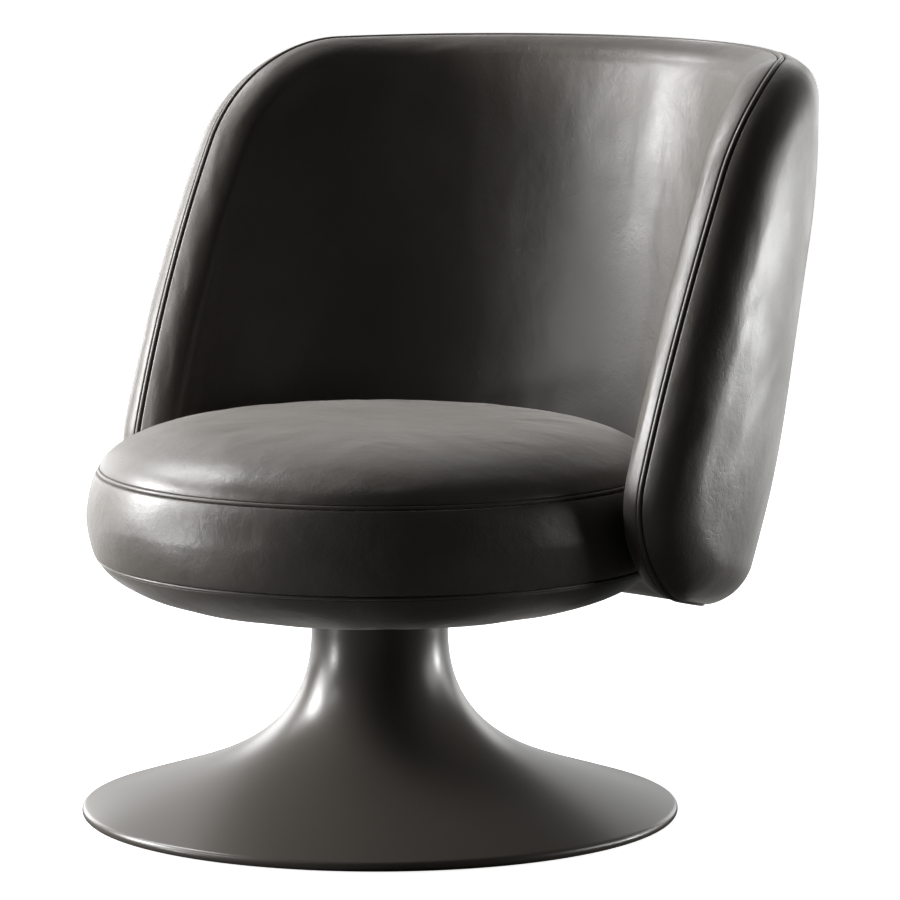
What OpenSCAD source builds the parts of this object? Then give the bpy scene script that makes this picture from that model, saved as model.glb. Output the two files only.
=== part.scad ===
// Pedestal swivel armchair: a round padded seat held inside a wrap-round padded back,
// turning on a ball thrust bearing in a spun trumpet foot.
// Millimetres, +Z up, the sitter faces -Y. The origin is on the floor, on the swivel axis.

/* [Foot] */
// Radius of the foot over its rolled rim
foot_r = 320; // [280:1:360]
// Radius of the rolled bead round the rim
rim_bead_r = 5.5; // [4.5:0.1:7]
// Height at which the bead hangs clear of the floor
rim_lift = 1; // [0.5:0.1:2]
// Angle at which the skirt meets the rim
rim_angle = 18.3; // [14:0.1:22]
// Pull of the rim on the skirt's curve
rim_pull = 134; // [110:1:150]
// Pull of the neck on the skirt's curve
neck_pull = 127.5; // [110:0.5:140]
// Outer radius of the neck
neck_r = 73.3; // [66:0.1:80]
// Length of the straight neck
neck_straight = 30; // [24:1:36]
// Wall of the spun shell
shell_wall = 4; // [3:0.1:4.4]
// Thickness of the felt pad under the foot
pad_t = 3; // [2:0.1:4]
// Thickness of the iron weight
weight_t = 10; // [8:0.5:10.5]
// Radius of the hole in the middle of the weight
weight_bore_r = 24; // [20:1:26]

/* [Column] */
// Outer radius of the column tube
column_r = 30; // [28:0.5:34]
// Wall of the column tube
column_wall = 4; // [3:0.5:5]
// Height of the column tube above the weight
column_h = 192; // [180:1:230]
// Radius of the column's flange
flange_r = 85; // [76:1:100]
// Thickness of the column's flange
flange_t = 8; // [6:0.5:10]
// Bolts through the flange
flange_bolt_count = 6; // [4:1:8]
// Thread radius of a flange bolt
flange_bolt_r = 5; // [4:0.5:6]
// Height of the ring that centres the neck on the column
neck_ring_h = 12; // [8:1:16]
// Depth of the neck ring below the column's top
neck_ring_drop = 8; // [5:1:12]

/* [Swivel] */
// Radius of the turning spindle
spindle_r = 15; // [12:0.5:17]
// Running gap between the spindle and its bushes
spindle_gap = 0.05; // [0.02:0.01:0.1]
// Length of each spindle bush
bush_h = 30; // [24:1:36]
// Thickness of the upper bush's collar
bush_collar_t = 3; // [2:0.5:4]
// Height of the lower bush above the weight
lower_bush_rise = 47; // [30:1:60]
// Length of the spindle below the lower bush
spindle_tail = 12; // [10:0.5:16]
// Radius of a bearing ball
ball_r = 3.5; // [3:0.1:4]
// Balls in the thrust bearing
ball_count = 12; // [8:1:16]
// Radius of the circle that the balls run on
ball_ring_r = 26; // [24:0.5:28]
// Gap round each ball in its races and its cage
ball_gap = 0.05; // [0.02:0.01:0.1]
// Thickness of each bearing race
race_t = 3; // [2.5:0.1:4]
// Depth of the ball groove in a race
race_groove = 0.95; // [0.7:0.05:1.2]
// Half width of a bearing race
race_half_w = 8; // [6.5:0.5:9]
// Thickness of the ball cage
cage_t = 2; // [1.5:0.1:2.5]
// Thickness of the washer under the lower bush
washer_t = 3; // [2:0.5:4]
// Gap between that washer and the bush
washer_gap = 0.3; // [0.2:0.05:0.5]
// Thickness of the retaining ring
circlip_t = 1.2; // [1:0.1:1.6]

/* [Seat mount] */
// Radius of the hub on the seat's mounting plate
hub_r = 30; // [27:0.5:32]
// Height of the hub
hub_h = 39; // [34:1:45]
// Thickness of the mounting plate
plate_t = 6; // [5:0.5:8]
// Length of each arm of the cross-shaped plate from the axis
plate_arm = 125; // [110:1:150]
// Width of each arm
plate_arm_w = 60; // [50:1:70]
// Distance of the seat bolts from the axis
seat_bolt_ring_r = 100; // [80:1:104]
// Thread radius of the seat and back bolts
bolt_r = 4; // [3:0.5:5]

/* [Seat] */
// Radius of the upper welt
upper_welt_r = 298.9; // [290:0.1:302]
// How much larger the lower welt's radius is than the upper one's
welt_spread = 2; // [0:0.1:5]
// Distance between the two welts
band_h = 92.6; // [84:0.1:110]
// How far the side band swells past its welts
band_bulge = 13; // [8:0.1:13.5]
// Rise of the seat's crown above the upper welt
crown_h = 53.4; // [40:0.1:70]
// Depth of the padded underside below the lower welt
under_h = 56.6; // [46:0.1:60]
// Thickness of the leather
leather_t = 2; // [1.5:0.1:2.5]
// Radius of the seat's welts
seat_welt_r = 2; // [1.6:0.1:2.6]
// Thickness of the moulded pan under the seat
pan_t = 4; // [3:0.5:5]
// Thickness of the plywood seat board
board_t = 15; // [12:1:18]
// Height of the lower welt above the top of the seat board
welt_rise = 1.5; // [1:0.1:3]
// Thickness of the plywood seat ring
ring_t = 14; // [12:1:18]
// Height of the seat ring
ring_h = 66; // [56:1:70]
// Width of a webbing strap
strap_w = 60; // [45:1:64]
// Thickness of a webbing strap
strap_t = 2; // [1.5:0.1:2.5]
// Straps in each direction
strap_count = 5; // [4:1:6]
// Distance between the middles of two straps
strap_pitch = 86; // [80:1:92]

/* [Back] */
// Gap between the seat's fullest girth and the inner face of the back
back_clearance = 0.8; // [0.6:0.1:3]
// Angle at which the back leans away from the sitter
back_lean_angle = 10.9; // [8:0.1:13]
// Angle at which the back flares open towards its top
back_flare_angle = 1.3; // [0.8:0.1:2.5]
// How far the back's top corner wraps round from the middle
wrap_top_angle = 76.5; // [68:0.5:80]
// How far the back's lower corner wraps round from the middle
wrap_low_angle = 94.5; // [88:0.5:98]
// Height of the back's top corner above the lower welt
back_top = 523.4; // [460:0.1:560]
// Depth of the back's lower corner below the lower welt
back_low = 1.4; // [0:0.1:6]
// Slope of the top edge where it meets its corner
top_edge_angle = 1.2; // [0.6:0.1:2]
// Slope of the lower edge where it meets its corner
low_edge_angle = 12; // [9:0.5:13]
// Radius of the top corner
top_corner_r = 138; // [120:1:150]
// Radius of the lower corner
low_corner_r = 115; // [100:1:125]
// How far the front edge of an arm bows forwards
arm_bow = 22.5; // [16:0.5:28]
// Padding from the seam to the inner face
inner_pad = 38.5; // [34:0.5:38.5]
// Width over which the inner face rolls to the seam
inner_roll = 30; // [24:0.5:34]
// Padding from the seam to the outer face
outer_pad = 47.8; // [40:0.1:54]
// Width over which the outer face rolls to the seam
outer_roll = 54; // [46:0.5:60]
// Swell of the outer face beyond its roll
outer_crown = 10.5; // [6:0.5:14]
// Distance past the roll over which the outer face swells
crown_reach = 150; // [120:1:180]
// Thickness of the moulded plywood frame in the back
frame_t = 12; // [9:0.5:14]
// Distance from the seam to the edge of that frame
frame_inset = 24; // [21:0.5:30]
// Radius of the back's welt
back_welt_r = 3; // [2.4:0.1:3.4]
// Depth of the back's welt below the edge of the back
back_welt_sink = 1.6; // [1:0.1:2.2]
// Height of the back bolts above the seat board
back_bolt_rise = 33; // [26:1:44]
// Angle of the rear back bolts from the middle of the back
rear_bolt_angle = 22; // [14:1:30]
// Angle of the side back bolts from the middle of the back
side_bolt_angle = 68; // [60:1:74]

/* [Hidden] */

// Clearances and small shared sizes
soft_gap = 0.3;
bolt_gap = 0.5;
overrun = 1;
round_fn = 96;
small_fn = 40;
hex_sides = 6;
turn = 360;
leather_color = "#302f2d";
foam_color = "#d9c88a";
paint_color = "#3a3937";
steel_color = "#9aa0a4";
wood_color = "#b98e5a";

// Outline helpers
function lerp(a, b, t) = a + (b - a) * t;
function unit(v) = v / norm(v);
function reversed(p) = [for (i = [len(p) - 1:-1:0]) p[i]];
function dir(p, i) = unit(p[min(i + 1, len(p) - 1)] - p[max(i - 1, 0)]);
// A line moved sideways, to the right of its direction of travel
function beside(p, d) = [for (i = [0:len(p) - 1]) let (t = dir(p, i)) p[i] + d * [t.y, -t.x]];
// The band between two lines beside an outline
function strip(p, d0, d1) = concat(beside(p, d0), reversed(beside(p, d1)));
// Sets the last point of a line on the axis
function on_axis(p) = [for (i = [0:len(p) - 1]) i < len(p) - 1 ? p[i] : [0, p[i].y]];
function bezier(a, b, c, d, t) =
  pow(1 - t, 3) * a + 3 * pow(1 - t, 2) * t * b + 3 * (1 - t) * t * t * c + pow(t, 3) * d;

// Heights, from the floor up
weight_z = pad_t;
weight_top = weight_z + weight_t;
column_top = weight_top + column_h;
lower_race_z = column_top + bush_collar_t;
ball_z = lower_race_z + race_t - race_groove + ball_r + ball_gap;
upper_race_z = 2 * ball_z - lower_race_z - race_t;
hub_z = upper_race_z + race_t;
plate_z = hub_z + hub_h;
board_z = plate_z + plate_t;
board_top = board_z + board_t;
ring_top = board_top + ring_h;
lower_welt_z = board_top + welt_rise;
upper_welt_z = lower_welt_z + band_h;
lower_welt_r = upper_welt_r + welt_spread;
// Radius of the seat where its band swells most
seat_r = (upper_welt_r + lower_welt_r) / 2 + band_bulge;
// Radius of the back's seam at the height of the lower welt
back_r = seat_r + back_clearance + inner_pad;
webbing_top = ring_top + 2 * strap_t;
foam_z = webbing_top + soft_gap;
neck_lap = 5;
neck_top = lower_welt_z - under_h + neck_lap;
neck_start = neck_top - neck_straight;
lower_bush_z = weight_top + lower_bush_rise;
spindle_end = lower_bush_z - spindle_tail;
washer_z = lower_bush_z - washer_gap - washer_t;
circlip_z = washer_z - circlip_t;
back_bolt_z = board_top + back_bolt_rise;

// The spun shell: neck, trumpet curve and rolled rim
curve_steps = 28;
bead_steps = 14;
bead_c = [foot_r - rim_bead_r, rim_lift + rim_bead_r];
rim_normal = [sin(rim_angle), cos(rim_angle)];
rim_point = bead_c + rim_bead_r * rim_normal;
trumpet = [for (k = [0:curve_steps]) bezier([neck_r, neck_start],
  [neck_r, neck_start - neck_pull],
  rim_point + rim_pull * [-cos(rim_angle), sin(rim_angle)],
  rim_point, k / curve_steps)];
bead = [for (k = [1:bead_steps])
  let (a = turn / 4 - rim_angle - k * turn / 2 / bead_steps) bead_c + rim_bead_r * [cos(a), sin(a)]];
shell_in_r = neck_r - shell_wall;
shell_inner = beside(trumpet, shell_wall);
shell_lip = shell_inner[curve_steps];
// The weight's top corner lies on the line of the shell's inner wall
weight_r = shell_lip.x - (weight_top - shell_lip.y) / tan(rim_angle) - soft_gap;

module foot_shell() {
  color(paint_color) rotate_extrude($fn = 2 * round_fn)
    polygon(concat([[shell_in_r, neck_top], [neck_r, neck_top]], trumpet, bead,
      reversed([for (k = [1:curve_steps]) shell_inner[k]]), [[shell_in_r, neck_start]]));
}

module foot_pad() {
  color("#222222") cylinder(r = weight_r, h = pad_t, $fn = round_fn);
}

flange_bolt_ring_r = (flange_r + column_r) / 2;
flange_head_h = 1.3 * flange_bolt_r;
flange_head_r = 1.8 * flange_bolt_r;

// Places children on each flange bolt's axis
module at_flange_bolts() {
  for (k = [0:flange_bolt_count - 1])
    rotate([0, 0, k * turn / flange_bolt_count]) translate([flange_bolt_ring_r, 0, 0]) children();
}

module foot_weight() {
  color("#4a4a4c") difference() {
    translate([0, 0, weight_z]) cylinder(r = weight_r, h = weight_t, $fn = round_fn);
    translate([0, 0, weight_z - overrun])
      cylinder(r = weight_bore_r, h = weight_t + 2 * overrun, $fn = round_fn);
    at_flange_bolts() translate([0, 0, weight_z - overrun])
      cylinder(r = flange_bolt_r, h = weight_t + 2 * overrun, $fn = small_fn);
  }
}

module column_flange() {
  color(steel_color) difference() {
    translate([0, 0, weight_top]) cylinder(r = flange_r, h = flange_t, $fn = round_fn);
    translate([0, 0, weight_top - overrun])
      cylinder(r = column_r, h = flange_t + 2 * overrun, $fn = round_fn);
    at_flange_bolts() translate([0, 0, weight_top - overrun])
      cylinder(r = flange_bolt_r + bolt_gap, h = flange_t + 2 * overrun, $fn = small_fn);
  }
}

module flange_bolts() {
  color("silver") at_flange_bolts() {
    translate([0, 0, weight_z + overrun])
      cylinder(r = flange_bolt_r, h = weight_t + flange_t - overrun, $fn = small_fn);
    translate([0, 0, weight_top + flange_t])
      cylinder(r = flange_head_r, h = flange_head_h, $fn = hex_sides);
  }
}

column_in_r = column_r - column_wall;

module column_tube() {
  color(steel_color) difference() {
    translate([0, 0, weight_top]) cylinder(r = column_r, h = column_h, $fn = round_fn);
    translate([0, 0, weight_top - overrun])
      cylinder(r = column_in_r, h = column_h + 2 * overrun, $fn = round_fn);
  }
}

module neck_ring() {
  ring_z = column_top - neck_ring_drop - neck_ring_h;
  web_t = neck_ring_h / 3;
  ring_web = shell_wall;
  color("#c9cbcd") rotate_extrude($fn = round_fn) polygon([
    [column_r, ring_z], [column_r + 2 * ring_web, ring_z], [column_r + 2 * ring_web, ring_z + web_t],
    [shell_in_r - ring_web, ring_z + web_t], [shell_in_r - ring_web, ring_z],
    [shell_in_r, ring_z], [shell_in_r, ring_z + neck_ring_h],
    [shell_in_r - ring_web, ring_z + neck_ring_h],
    [shell_in_r - ring_web, ring_z + 2 * web_t], [column_r + 2 * ring_web, ring_z + 2 * web_t],
    [column_r + 2 * ring_web, ring_z + neck_ring_h], [column_r, ring_z + neck_ring_h]]);
}

bush_bore_r = spindle_r + spindle_gap;

module lower_bush() {
  color("ivory") rotate_extrude($fn = round_fn) translate([bush_bore_r, lower_bush_z])
    square([column_in_r - bush_bore_r, bush_h]);
}

module upper_bush() {
  color("ivory") rotate_extrude($fn = round_fn) polygon([
    [bush_bore_r, column_top - bush_h], [column_in_r, column_top - bush_h],
    [column_in_r, column_top], [column_r, column_top],
    [column_r, column_top + bush_collar_t], [bush_bore_r, column_top + bush_collar_t]]);
}

// One washer-shaped race, its groove towards the balls
module race(z) {
  color("silver") difference() {
    translate([0, 0, z]) rotate_extrude($fn = round_fn) translate([ball_ring_r - race_half_w, 0])
      square([2 * race_half_w, race_t]);
    translate([0, 0, ball_z]) rotate_extrude($fn = round_fn) translate([ball_ring_r, 0])
      circle(r = ball_r + ball_gap, $fn = small_fn);
  }
}

module lower_race() { race(lower_race_z); }
module upper_race() { race(upper_race_z); }

// Places children on each ball's axis
module at_balls() {
  for (k = [0:ball_count - 1])
    rotate([0, 0, k * turn / ball_count]) translate([ball_ring_r, 0, ball_z]) children();
}

module bearing_cage() {
  cage_half_w = race_half_w - overrun;
  color("goldenrod") difference() {
    translate([0, 0, ball_z - cage_t / 2]) rotate_extrude($fn = round_fn)
      translate([ball_ring_r - cage_half_w, 0]) square([2 * cage_half_w, cage_t]);
    at_balls() translate([0, 0, -cage_t])
      cylinder(r = ball_r + ball_gap, h = 2 * cage_t, $fn = small_fn);
  }
}

module bearing_balls() {
  color("silver") at_balls() sphere(r = ball_r, $fn = small_fn);
}

groove_share = 0.92;
circlip_groove_r = groove_share * spindle_r;

module spindle() {
  color("silver") difference() {
    translate([0, 0, spindle_end])
      cylinder(r = spindle_r, h = plate_z + plate_t - spindle_end, $fn = round_fn);
    translate([0, 0, circlip_z]) rotate_extrude($fn = round_fn)
      translate([circlip_groove_r, 0]) square([spindle_r, circlip_t]);
  }
}

module spindle_washer() {
  washer_r = (spindle_r + column_in_r) / 2 + washer_t;
  color("silver") translate([0, 0, washer_z]) rotate_extrude($fn = round_fn)
    translate([bush_bore_r, 0]) square([washer_r - bush_bore_r, washer_t]);
}

module spindle_circlip() {
  clip_r = spindle_r + 3 * circlip_t;
  opening_angle = 24;
  color("dimgray") translate([0, 0, circlip_z])
    rotate([0, 0, opening_angle]) rotate_extrude(angle = turn - opening_angle, $fn = round_fn)
      translate([circlip_groove_r, 0]) square([clip_r - circlip_groove_r, circlip_t]);
}

// Places children on each seat bolt's axis
module at_seat_bolts() {
  for (k = [0:3]) rotate([0, 0, k * turn / 4]) translate([seat_bolt_ring_r, 0, 0]) children();
}

bolt_head_r = 1.7 * bolt_r;
bolt_head_h = 1.25 * bolt_r;

module mounting_plate() {
  color("#55585b") difference() {
    union() {
      translate([0, 0, hub_z]) cylinder(r = hub_r, h = hub_h + plate_t, $fn = round_fn);
      for (a = [0, turn / 4]) rotate([0, 0, a]) translate([-plate_arm, -plate_arm_w / 2, plate_z])
        cube([2 * plate_arm, plate_arm_w, plate_t]);
    }
    translate([0, 0, hub_z - overrun])
      cylinder(r = spindle_r, h = hub_h + plate_t + 2 * overrun, $fn = round_fn);
    at_seat_bolts() translate([0, 0, plate_z - overrun])
      cylinder(r = bolt_r + bolt_gap, h = plate_t + 2 * overrun, $fn = small_fn);
  }
}

tee_wall = 0.3 * bolt_r;
tee_flange_t = 0.35 * bolt_r;
tee_flange_r = 2.6 * bolt_r;
tee_depth = 0.75 * board_t;

module seat_bolts() {
  color("silver") at_seat_bolts() {
    translate([0, 0, plate_z]) cylinder(r = bolt_r, h = plate_t + board_t, $fn = small_fn);
    translate([0, 0, plate_z - bolt_head_h])
      cylinder(r = bolt_head_r, h = bolt_head_h, $fn = hex_sides);
  }
}

module seat_tee_nuts() {
  color("silver") at_seat_bolts() difference() {
    union() {
      translate([0, 0, board_top - tee_depth])
        cylinder(r = bolt_r + tee_wall, h = tee_depth, $fn = small_fn);
      translate([0, 0, board_top]) cylinder(r = tee_flange_r, h = tee_flange_t, $fn = small_fn);
    }
    translate([0, 0, board_z]) cylinder(r = bolt_r, h = 2 * board_t, $fn = small_fn);
  }
}

// Section of the seat: crown, side band and underside, each a line from its welt
profile_steps = 18;
seam_half = seat_welt_r + soft_gap;
// Fullness of the crown: how square its shoulder is and how fast it leaves the welt
crown_square_share = 4.65;
crown_edge_share = 1.21;
crown_start = asin(pow(seam_half / crown_h, 1 / crown_edge_share));
crown_line = [for (k = [0:profile_steps]) let (t = lerp(crown_start, turn / 4, k / profile_steps))
  [upper_welt_r * pow(max(cos(t), 0), 2 / crown_square_share),
   upper_welt_z + crown_h * pow(sin(t), crown_edge_share)]];
// The band swells between the welts: q runs from the upper welt to the lower one
band_square_share = 1.27;
function band_point(q) = [lerp(upper_welt_r, lower_welt_r, q)
  + band_bulge * sqrt(1 - pow(abs(2 * q - 1), band_square_share)), lerp(upper_welt_z, lower_welt_z, q)];
band_start = seam_half / band_h;
band_line = [for (k = [0:profile_steps])
  band_point(lerp(band_start, 1 - band_start, (1 - cos(k * turn / 2 / profile_steps)) / 2))];
// The underside is a flat dome with a tight shoulder, open round the neck
under_square_share = 3.96;
under_edge_share = 1.34;
seal_gap = 0.8;
seal_t = 2;
seal_r = neck_r + seal_gap + seal_t;
under_hole_r = seal_r + soft_gap;
under_start = asin(pow(seam_half / under_h, 1 / under_edge_share));
under_end = acos(pow(under_hole_r / lower_welt_r, under_square_share / 2));
under_line = [for (k = [0:profile_steps]) let (t = lerp(under_start, under_end, k / profile_steps))
  [lower_welt_r * pow(cos(t), 2 / under_square_share),
   lower_welt_z - under_h * pow(sin(t), under_edge_share)]];
skin_in = leather_t + soft_gap;
pan_inner = beside(under_line, skin_in + pan_t);
board_r = lookup(board_z, [for (q = pan_inner) [q.y, q.x]]) - soft_gap;
ring_in_r = board_r - ring_t;

module seat_top_cover() {
  color(leather_color) rotate_extrude($fn = round_fn)
    polygon(concat(crown_line, reversed(on_axis(beside(crown_line, -leather_t)))));
}

module side_band() {
  color(leather_color) difference() {
    rotate_extrude($fn = round_fn) polygon(strip(band_line, 0, leather_t));
    back_bolt_holes(board_r, bolt_r + bolt_gap, 2 * band_bulge + lower_welt_r - board_r);
  }
}

module under_cover() {
  color(leather_color) rotate_extrude($fn = round_fn) polygon(strip(under_line, 0, leather_t));
}

// The pan's edge is cut off level, just under the top of the board
module under_pan() {
  color(wood_color) difference() {
    rotate_extrude($fn = round_fn) polygon(strip(under_line, skin_in, skin_in + pan_t));
    translate([0, 0, board_top - soft_gap]) cylinder(r = 2 * lower_welt_r, h = ring_h, $fn = round_fn);
  }
}

module upper_welt() {
  color(leather_color) rotate_extrude($fn = 2 * round_fn) translate([upper_welt_r, upper_welt_z])
    circle(r = seat_welt_r, $fn = small_fn);
}

module lower_welt() {
  color(leather_color) rotate_extrude($fn = 2 * round_fn) translate([lower_welt_r, lower_welt_z])
    circle(r = seat_welt_r, $fn = small_fn);
}

module neck_seal() {
  seal_z = lower_welt_z - under_h;
  lip_r = under_hole_r + 3 * seal_t;
  seal_h = lookup(lip_r, pan_inner) + soft_gap - seal_z;
  color("#1c1c1c") rotate_extrude($fn = round_fn) polygon([
    [seal_r - seal_t, seal_z], [seal_r, seal_z], [seal_r, seal_z + seal_h],
    [lip_r, seal_z + seal_h], [lip_r, seal_z + seal_h + seal_t],
    [seal_r - seal_t, seal_z + seal_h + seal_t]]);
}

module seat_board() {
  color(wood_color) difference() {
    translate([0, 0, board_z]) cylinder(r = board_r, h = board_t, $fn = round_fn);
    at_seat_bolts() translate([0, 0, board_top - tee_depth])
      cylinder(r = bolt_r + tee_wall, h = tee_depth + overrun, $fn = small_fn);
    at_seat_bolts() translate([0, 0, board_z - overrun])
      cylinder(r = bolt_r, h = board_t + overrun, $fn = small_fn);
  }
}

module seat_ring() {
  color(wood_color) difference() {
    translate([0, 0, board_top]) rotate_extrude($fn = round_fn) translate([ring_in_r, 0])
      square([ring_t, ring_h]);
    back_bolt_holes(ring_in_r - overrun, bolt_r + bolt_gap, ring_t + 2 * overrun);
  }
}

module seat_webbing() {
  strap_end_r = board_r - ring_t / 4;
  color("#6d6557") for (layer = [0, 1]) rotate([0, 0, layer * turn / 4])
    for (k = [0:strap_count - 1]) {
      off = (k - (strap_count - 1) / 2) * strap_pitch;
      reach = sqrt(pow(strap_end_r, 2) - pow(abs(off) + strap_w / 2, 2));
      translate([off - strap_w / 2, -reach, ring_top + layer * strap_t])
        cube([strap_w, 2 * reach, strap_t]);
    }
}

// The foam's edge steps in behind a welt, by this much from the welt's own edge
welt_notch = 1.8;

module seat_foam() {
  q_low = (upper_welt_z - foam_z) / band_h;
  side = beside([for (k = [0:profile_steps / 2])
    band_point(lerp(band_start, q_low, k / (profile_steps / 2)))], skin_in);
  top = on_axis(beside(crown_line, -skin_in));
  notch = [upper_welt_r - seat_welt_r - welt_notch, upper_welt_z];
  color(foam_color) rotate_extrude($fn = round_fn) polygon(concat(
    [[0, foam_z], [side[len(side) - 1].x, foam_z]],
    reversed([for (q = side) if (q.y > foam_z) q]), [notch], top));
}

module band_foam() {
  foam_in_r = board_r + soft_gap;
  top_z = webbing_top;
  side = beside(band_line, skin_in);
  kept = [for (q = side) if (q.y < top_z - soft_gap) q];
  notch = [lower_welt_r - seat_welt_r - welt_notch, lower_welt_z];
  color(foam_color) difference() {
    rotate_extrude($fn = round_fn) polygon(concat(
      [[foam_in_r, top_z], [lookup(top_z, [for (q = side) [q.y, q.x]]), top_z]],
      kept, [notch, [notch.x, board_top], [foam_in_r, board_top]]));
    back_bolt_holes(foam_in_r - overrun, bolt_r + bolt_gap, 2 * (lower_welt_r - foam_in_r));
  }
}

// The back's seam, drawn flat: s runs along the arc at back_r, z is the height.
// Each half goes from the middle of the top edge, round the arm, to the middle of the lower edge.
top_steps = 10;
corner_steps = 5;
front_steps = 7;
half_count = 2 * (top_steps + corner_steps + 1) + front_steps - 1;
loop_count = 2 * half_count - 2;
function arc_length(a) = back_r * a * PI / 180;
top_corner = [arc_length(wrap_top_angle), lower_welt_z + back_top];
low_corner = [arc_length(wrap_low_angle), lower_welt_z - back_low];
top_middle = [0, top_corner.y + top_corner.x * tan(top_edge_angle)];
low_middle = [0, low_corner.y - low_corner.x * tan(low_edge_angle)];
// A rounded corner at t between the lines to a and to b
function corner(a, t, b, r) = let (
    u = unit(a - t), v = unit(b - t), half = acos(u * v) / 2,
    c = t + unit(u + v) * r / sin(half), p = t + u * r / tan(half) - c, q = t + v * r / tan(half) - c,
    from = atan2(p.y, p.x), step = (turn + atan2(q.y, q.x) - from + turn / 2) % turn - turn / 2)
  [for (k = [0:corner_steps]) let (d = from + step * k / corner_steps) c + r * [cos(d), sin(d)]];
top_arc = corner(top_middle, top_corner, low_corner, top_corner_r);
low_arc = corner(top_corner, low_corner, low_middle, low_corner_r);
// The top and lower edges are straight at their corners and level in the middle
top_edge = [for (k = [0:top_steps - 1]) let (t = k / top_steps)
  lerp(top_middle, top_arc[0], t) - [0, tan(top_edge_angle) * top_arc[0].x * pow(1 - t, 2) / 2]];
low_edge = [for (k = [1:top_steps]) let (t = k / top_steps)
  lerp(low_arc[corner_steps], low_middle, t)
    + [0, tan(low_edge_angle) * low_arc[corner_steps].x * t * t / 2]];
front_edge = [for (k = [1:front_steps - 1]) lerp(top_arc[corner_steps], low_arc[0], k / front_steps)];
// The bow pushes the arm's front forwards, most at half height, and fades towards the middle
bow_from_share = 0.35;
bow_over_share = 0.6;
function smooth(t) = let (c = min(max(t, 0), 1)) c * c * (3 - 2 * c);
function bowed(p) = let (h = min(max((p.y - low_corner.y) / (top_corner.y - low_corner.y), 0), 1))
  p + [arm_bow * 4 * h * (1 - h) * smooth((p.x / top_corner.x - bow_from_share) / bow_over_share), 0];
half_seam = [for (p = concat(top_edge, top_arc, front_edge, low_arc, low_edge)) bowed(p)];
seam = [for (j = [0:loop_count - 1])
  j < half_count ? half_seam[j] : [-half_seam[loop_count - j].x, half_seam[loop_count - j].y]];
// Unit direction from each seam point into the back
inward = [for (j = [0:loop_count - 1])
  let (t = unit(seam[(j + 1) % loop_count] - seam[(j + loop_count - 1) % loop_count])) [t.y, -t.x]];
function partner(j) = (half_count - 1 - j + loop_count) % loop_count;

// Bends the flat drawing round the leaning, flaring back; w is the height off the seam's surface
function bend(s, z, w) = let (
    a = s / back_r * 180 / PI, rise = z - lower_welt_z, r = back_r + tan(back_flare_angle) * rise + w)
  [r * sin(a), tan(back_lean_angle) * rise + r * cos(a), z];

// One ring round the back. A station is [distance in from the seam, share of the way from there
// to the middle line, height off the seam's surface, swell added over crown_reach]
middle_pull_share = 0.92;
function middle_of(j, d) = let (a = seam[j] + inward[j] * d, b = seam[partner(j)] + inward[partner(j)] * d)
  [middle_pull_share * (a.x + b.x) / 2, (a.y + b.y) / 2];
function swell(reach) = 1 - pow(1 - min(reach / crown_reach, 1), 2);
function ring_points(st) = [for (j = [0:loop_count - 1])
  let (edge = seam[j] + inward[j] * st[0], p = lerp(edge, middle_of(j, st[0]), st[1]))
  bend(p.x, p.y, st[2] + st[3] * swell(norm(p - edge)))];
// Two triangles for each step between two rings. The diagonal runs the same way on the inner and
// the outer side of a pad, so that pads which lie on each other have matching facets.
function wall_faces(i, next, inner_side) = [for (j = [0:loop_count - 1]) let (
    k = (j + 1) % loop_count, a = i * loop_count, b = next * loop_count)
  each inner_side ? [[a + j, a + k, b + j], [a + k, b + k, b + j]]
                  : [[a + j, a + k, b + k], [a + j, b + k, b + j]]];
// Strips across the back that close its first and its last ring
function cap_faces(i, inner_side) = [for (k = [0:half_count / 2 - 2], side = [0, 1]) let (
    a = side == 0 ? k : (loop_count - k) % loop_count, b = side == 0 ? k + 1 : loop_count - k - 1,
    halves = [[a, b, partner(b)], [a, partner(b), partner(a)]])
  for (face = halves) [for (m = (side == 0) == inner_side ? reversed(face) : face) i * loop_count + m]];

// A closed pad from the stations of its inner and its outer side, each from the edge to the middle
module pad(inner_side, outer_side) {
  turn_at = len(inner_side) - 1;
  last = turn_at + len(outer_side);
  polyhedron(points = [for (st = concat(reversed(inner_side), outer_side)) each ring_points(st)],
    faces = concat([for (i = [0:last - 1]) each wall_faces(i, i + 1, i < turn_at)],
      cap_faces(0, true), cap_faces(last, false)));
}

// Stations of one face: a quarter-ellipse roll from the seam, then a crown to the middle.
// depth moves the whole line into the padding.
roll_steps = 4;
crown_shares = [0.22, 0.47, 0.74];
function roll_station(roll, pad_h, t, depth) = let (n = unit([-pad_h * cos(t), roll * sin(t)]))
  [roll * (1 - cos(t)) - depth * n.x, 0, pad_h * sin(t) - depth * n.y, 0];
function face_stations(roll, pad_h, crown, start, depth) = concat(
  [for (k = [0:roll_steps]) roll_station(roll, pad_h, lerp(start, turn / 4, k / roll_steps), depth)],
  [for (f = crown_shares) [roll, f, pad_h - depth, crown]]);
function flipped(st) = [for (a = st) [a[0], a[1], -a[2], 0]];
back_seam_half = back_welt_r + soft_gap;
// The foam starts further from the seam than the leather does, by a share of the first facet
foam_cut_share = 0.25;
function cut_back(st, share) = [for (k = [0:len(st) - 1]) k == 0 ? lerp(st[0], st[1], share) : st[k]];
function inner_face(depth, share = 0) = flipped(
  cut_back(face_stations(inner_roll, inner_pad, 0, asin(back_seam_half / inner_pad), depth), share));
function outer_face(depth, share = 0) = cut_back(
  face_stations(outer_roll, outer_pad, outer_crown, asin(back_seam_half / outer_pad), depth), share);

module back_inner_cover() {
  color(leather_color) difference() {
    pad(inner_face(0), inner_face(leather_t));
    back_bolt_holes(upper_welt_r, bolt_r + bolt_gap, back_r - upper_welt_r);
  }
}

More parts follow.
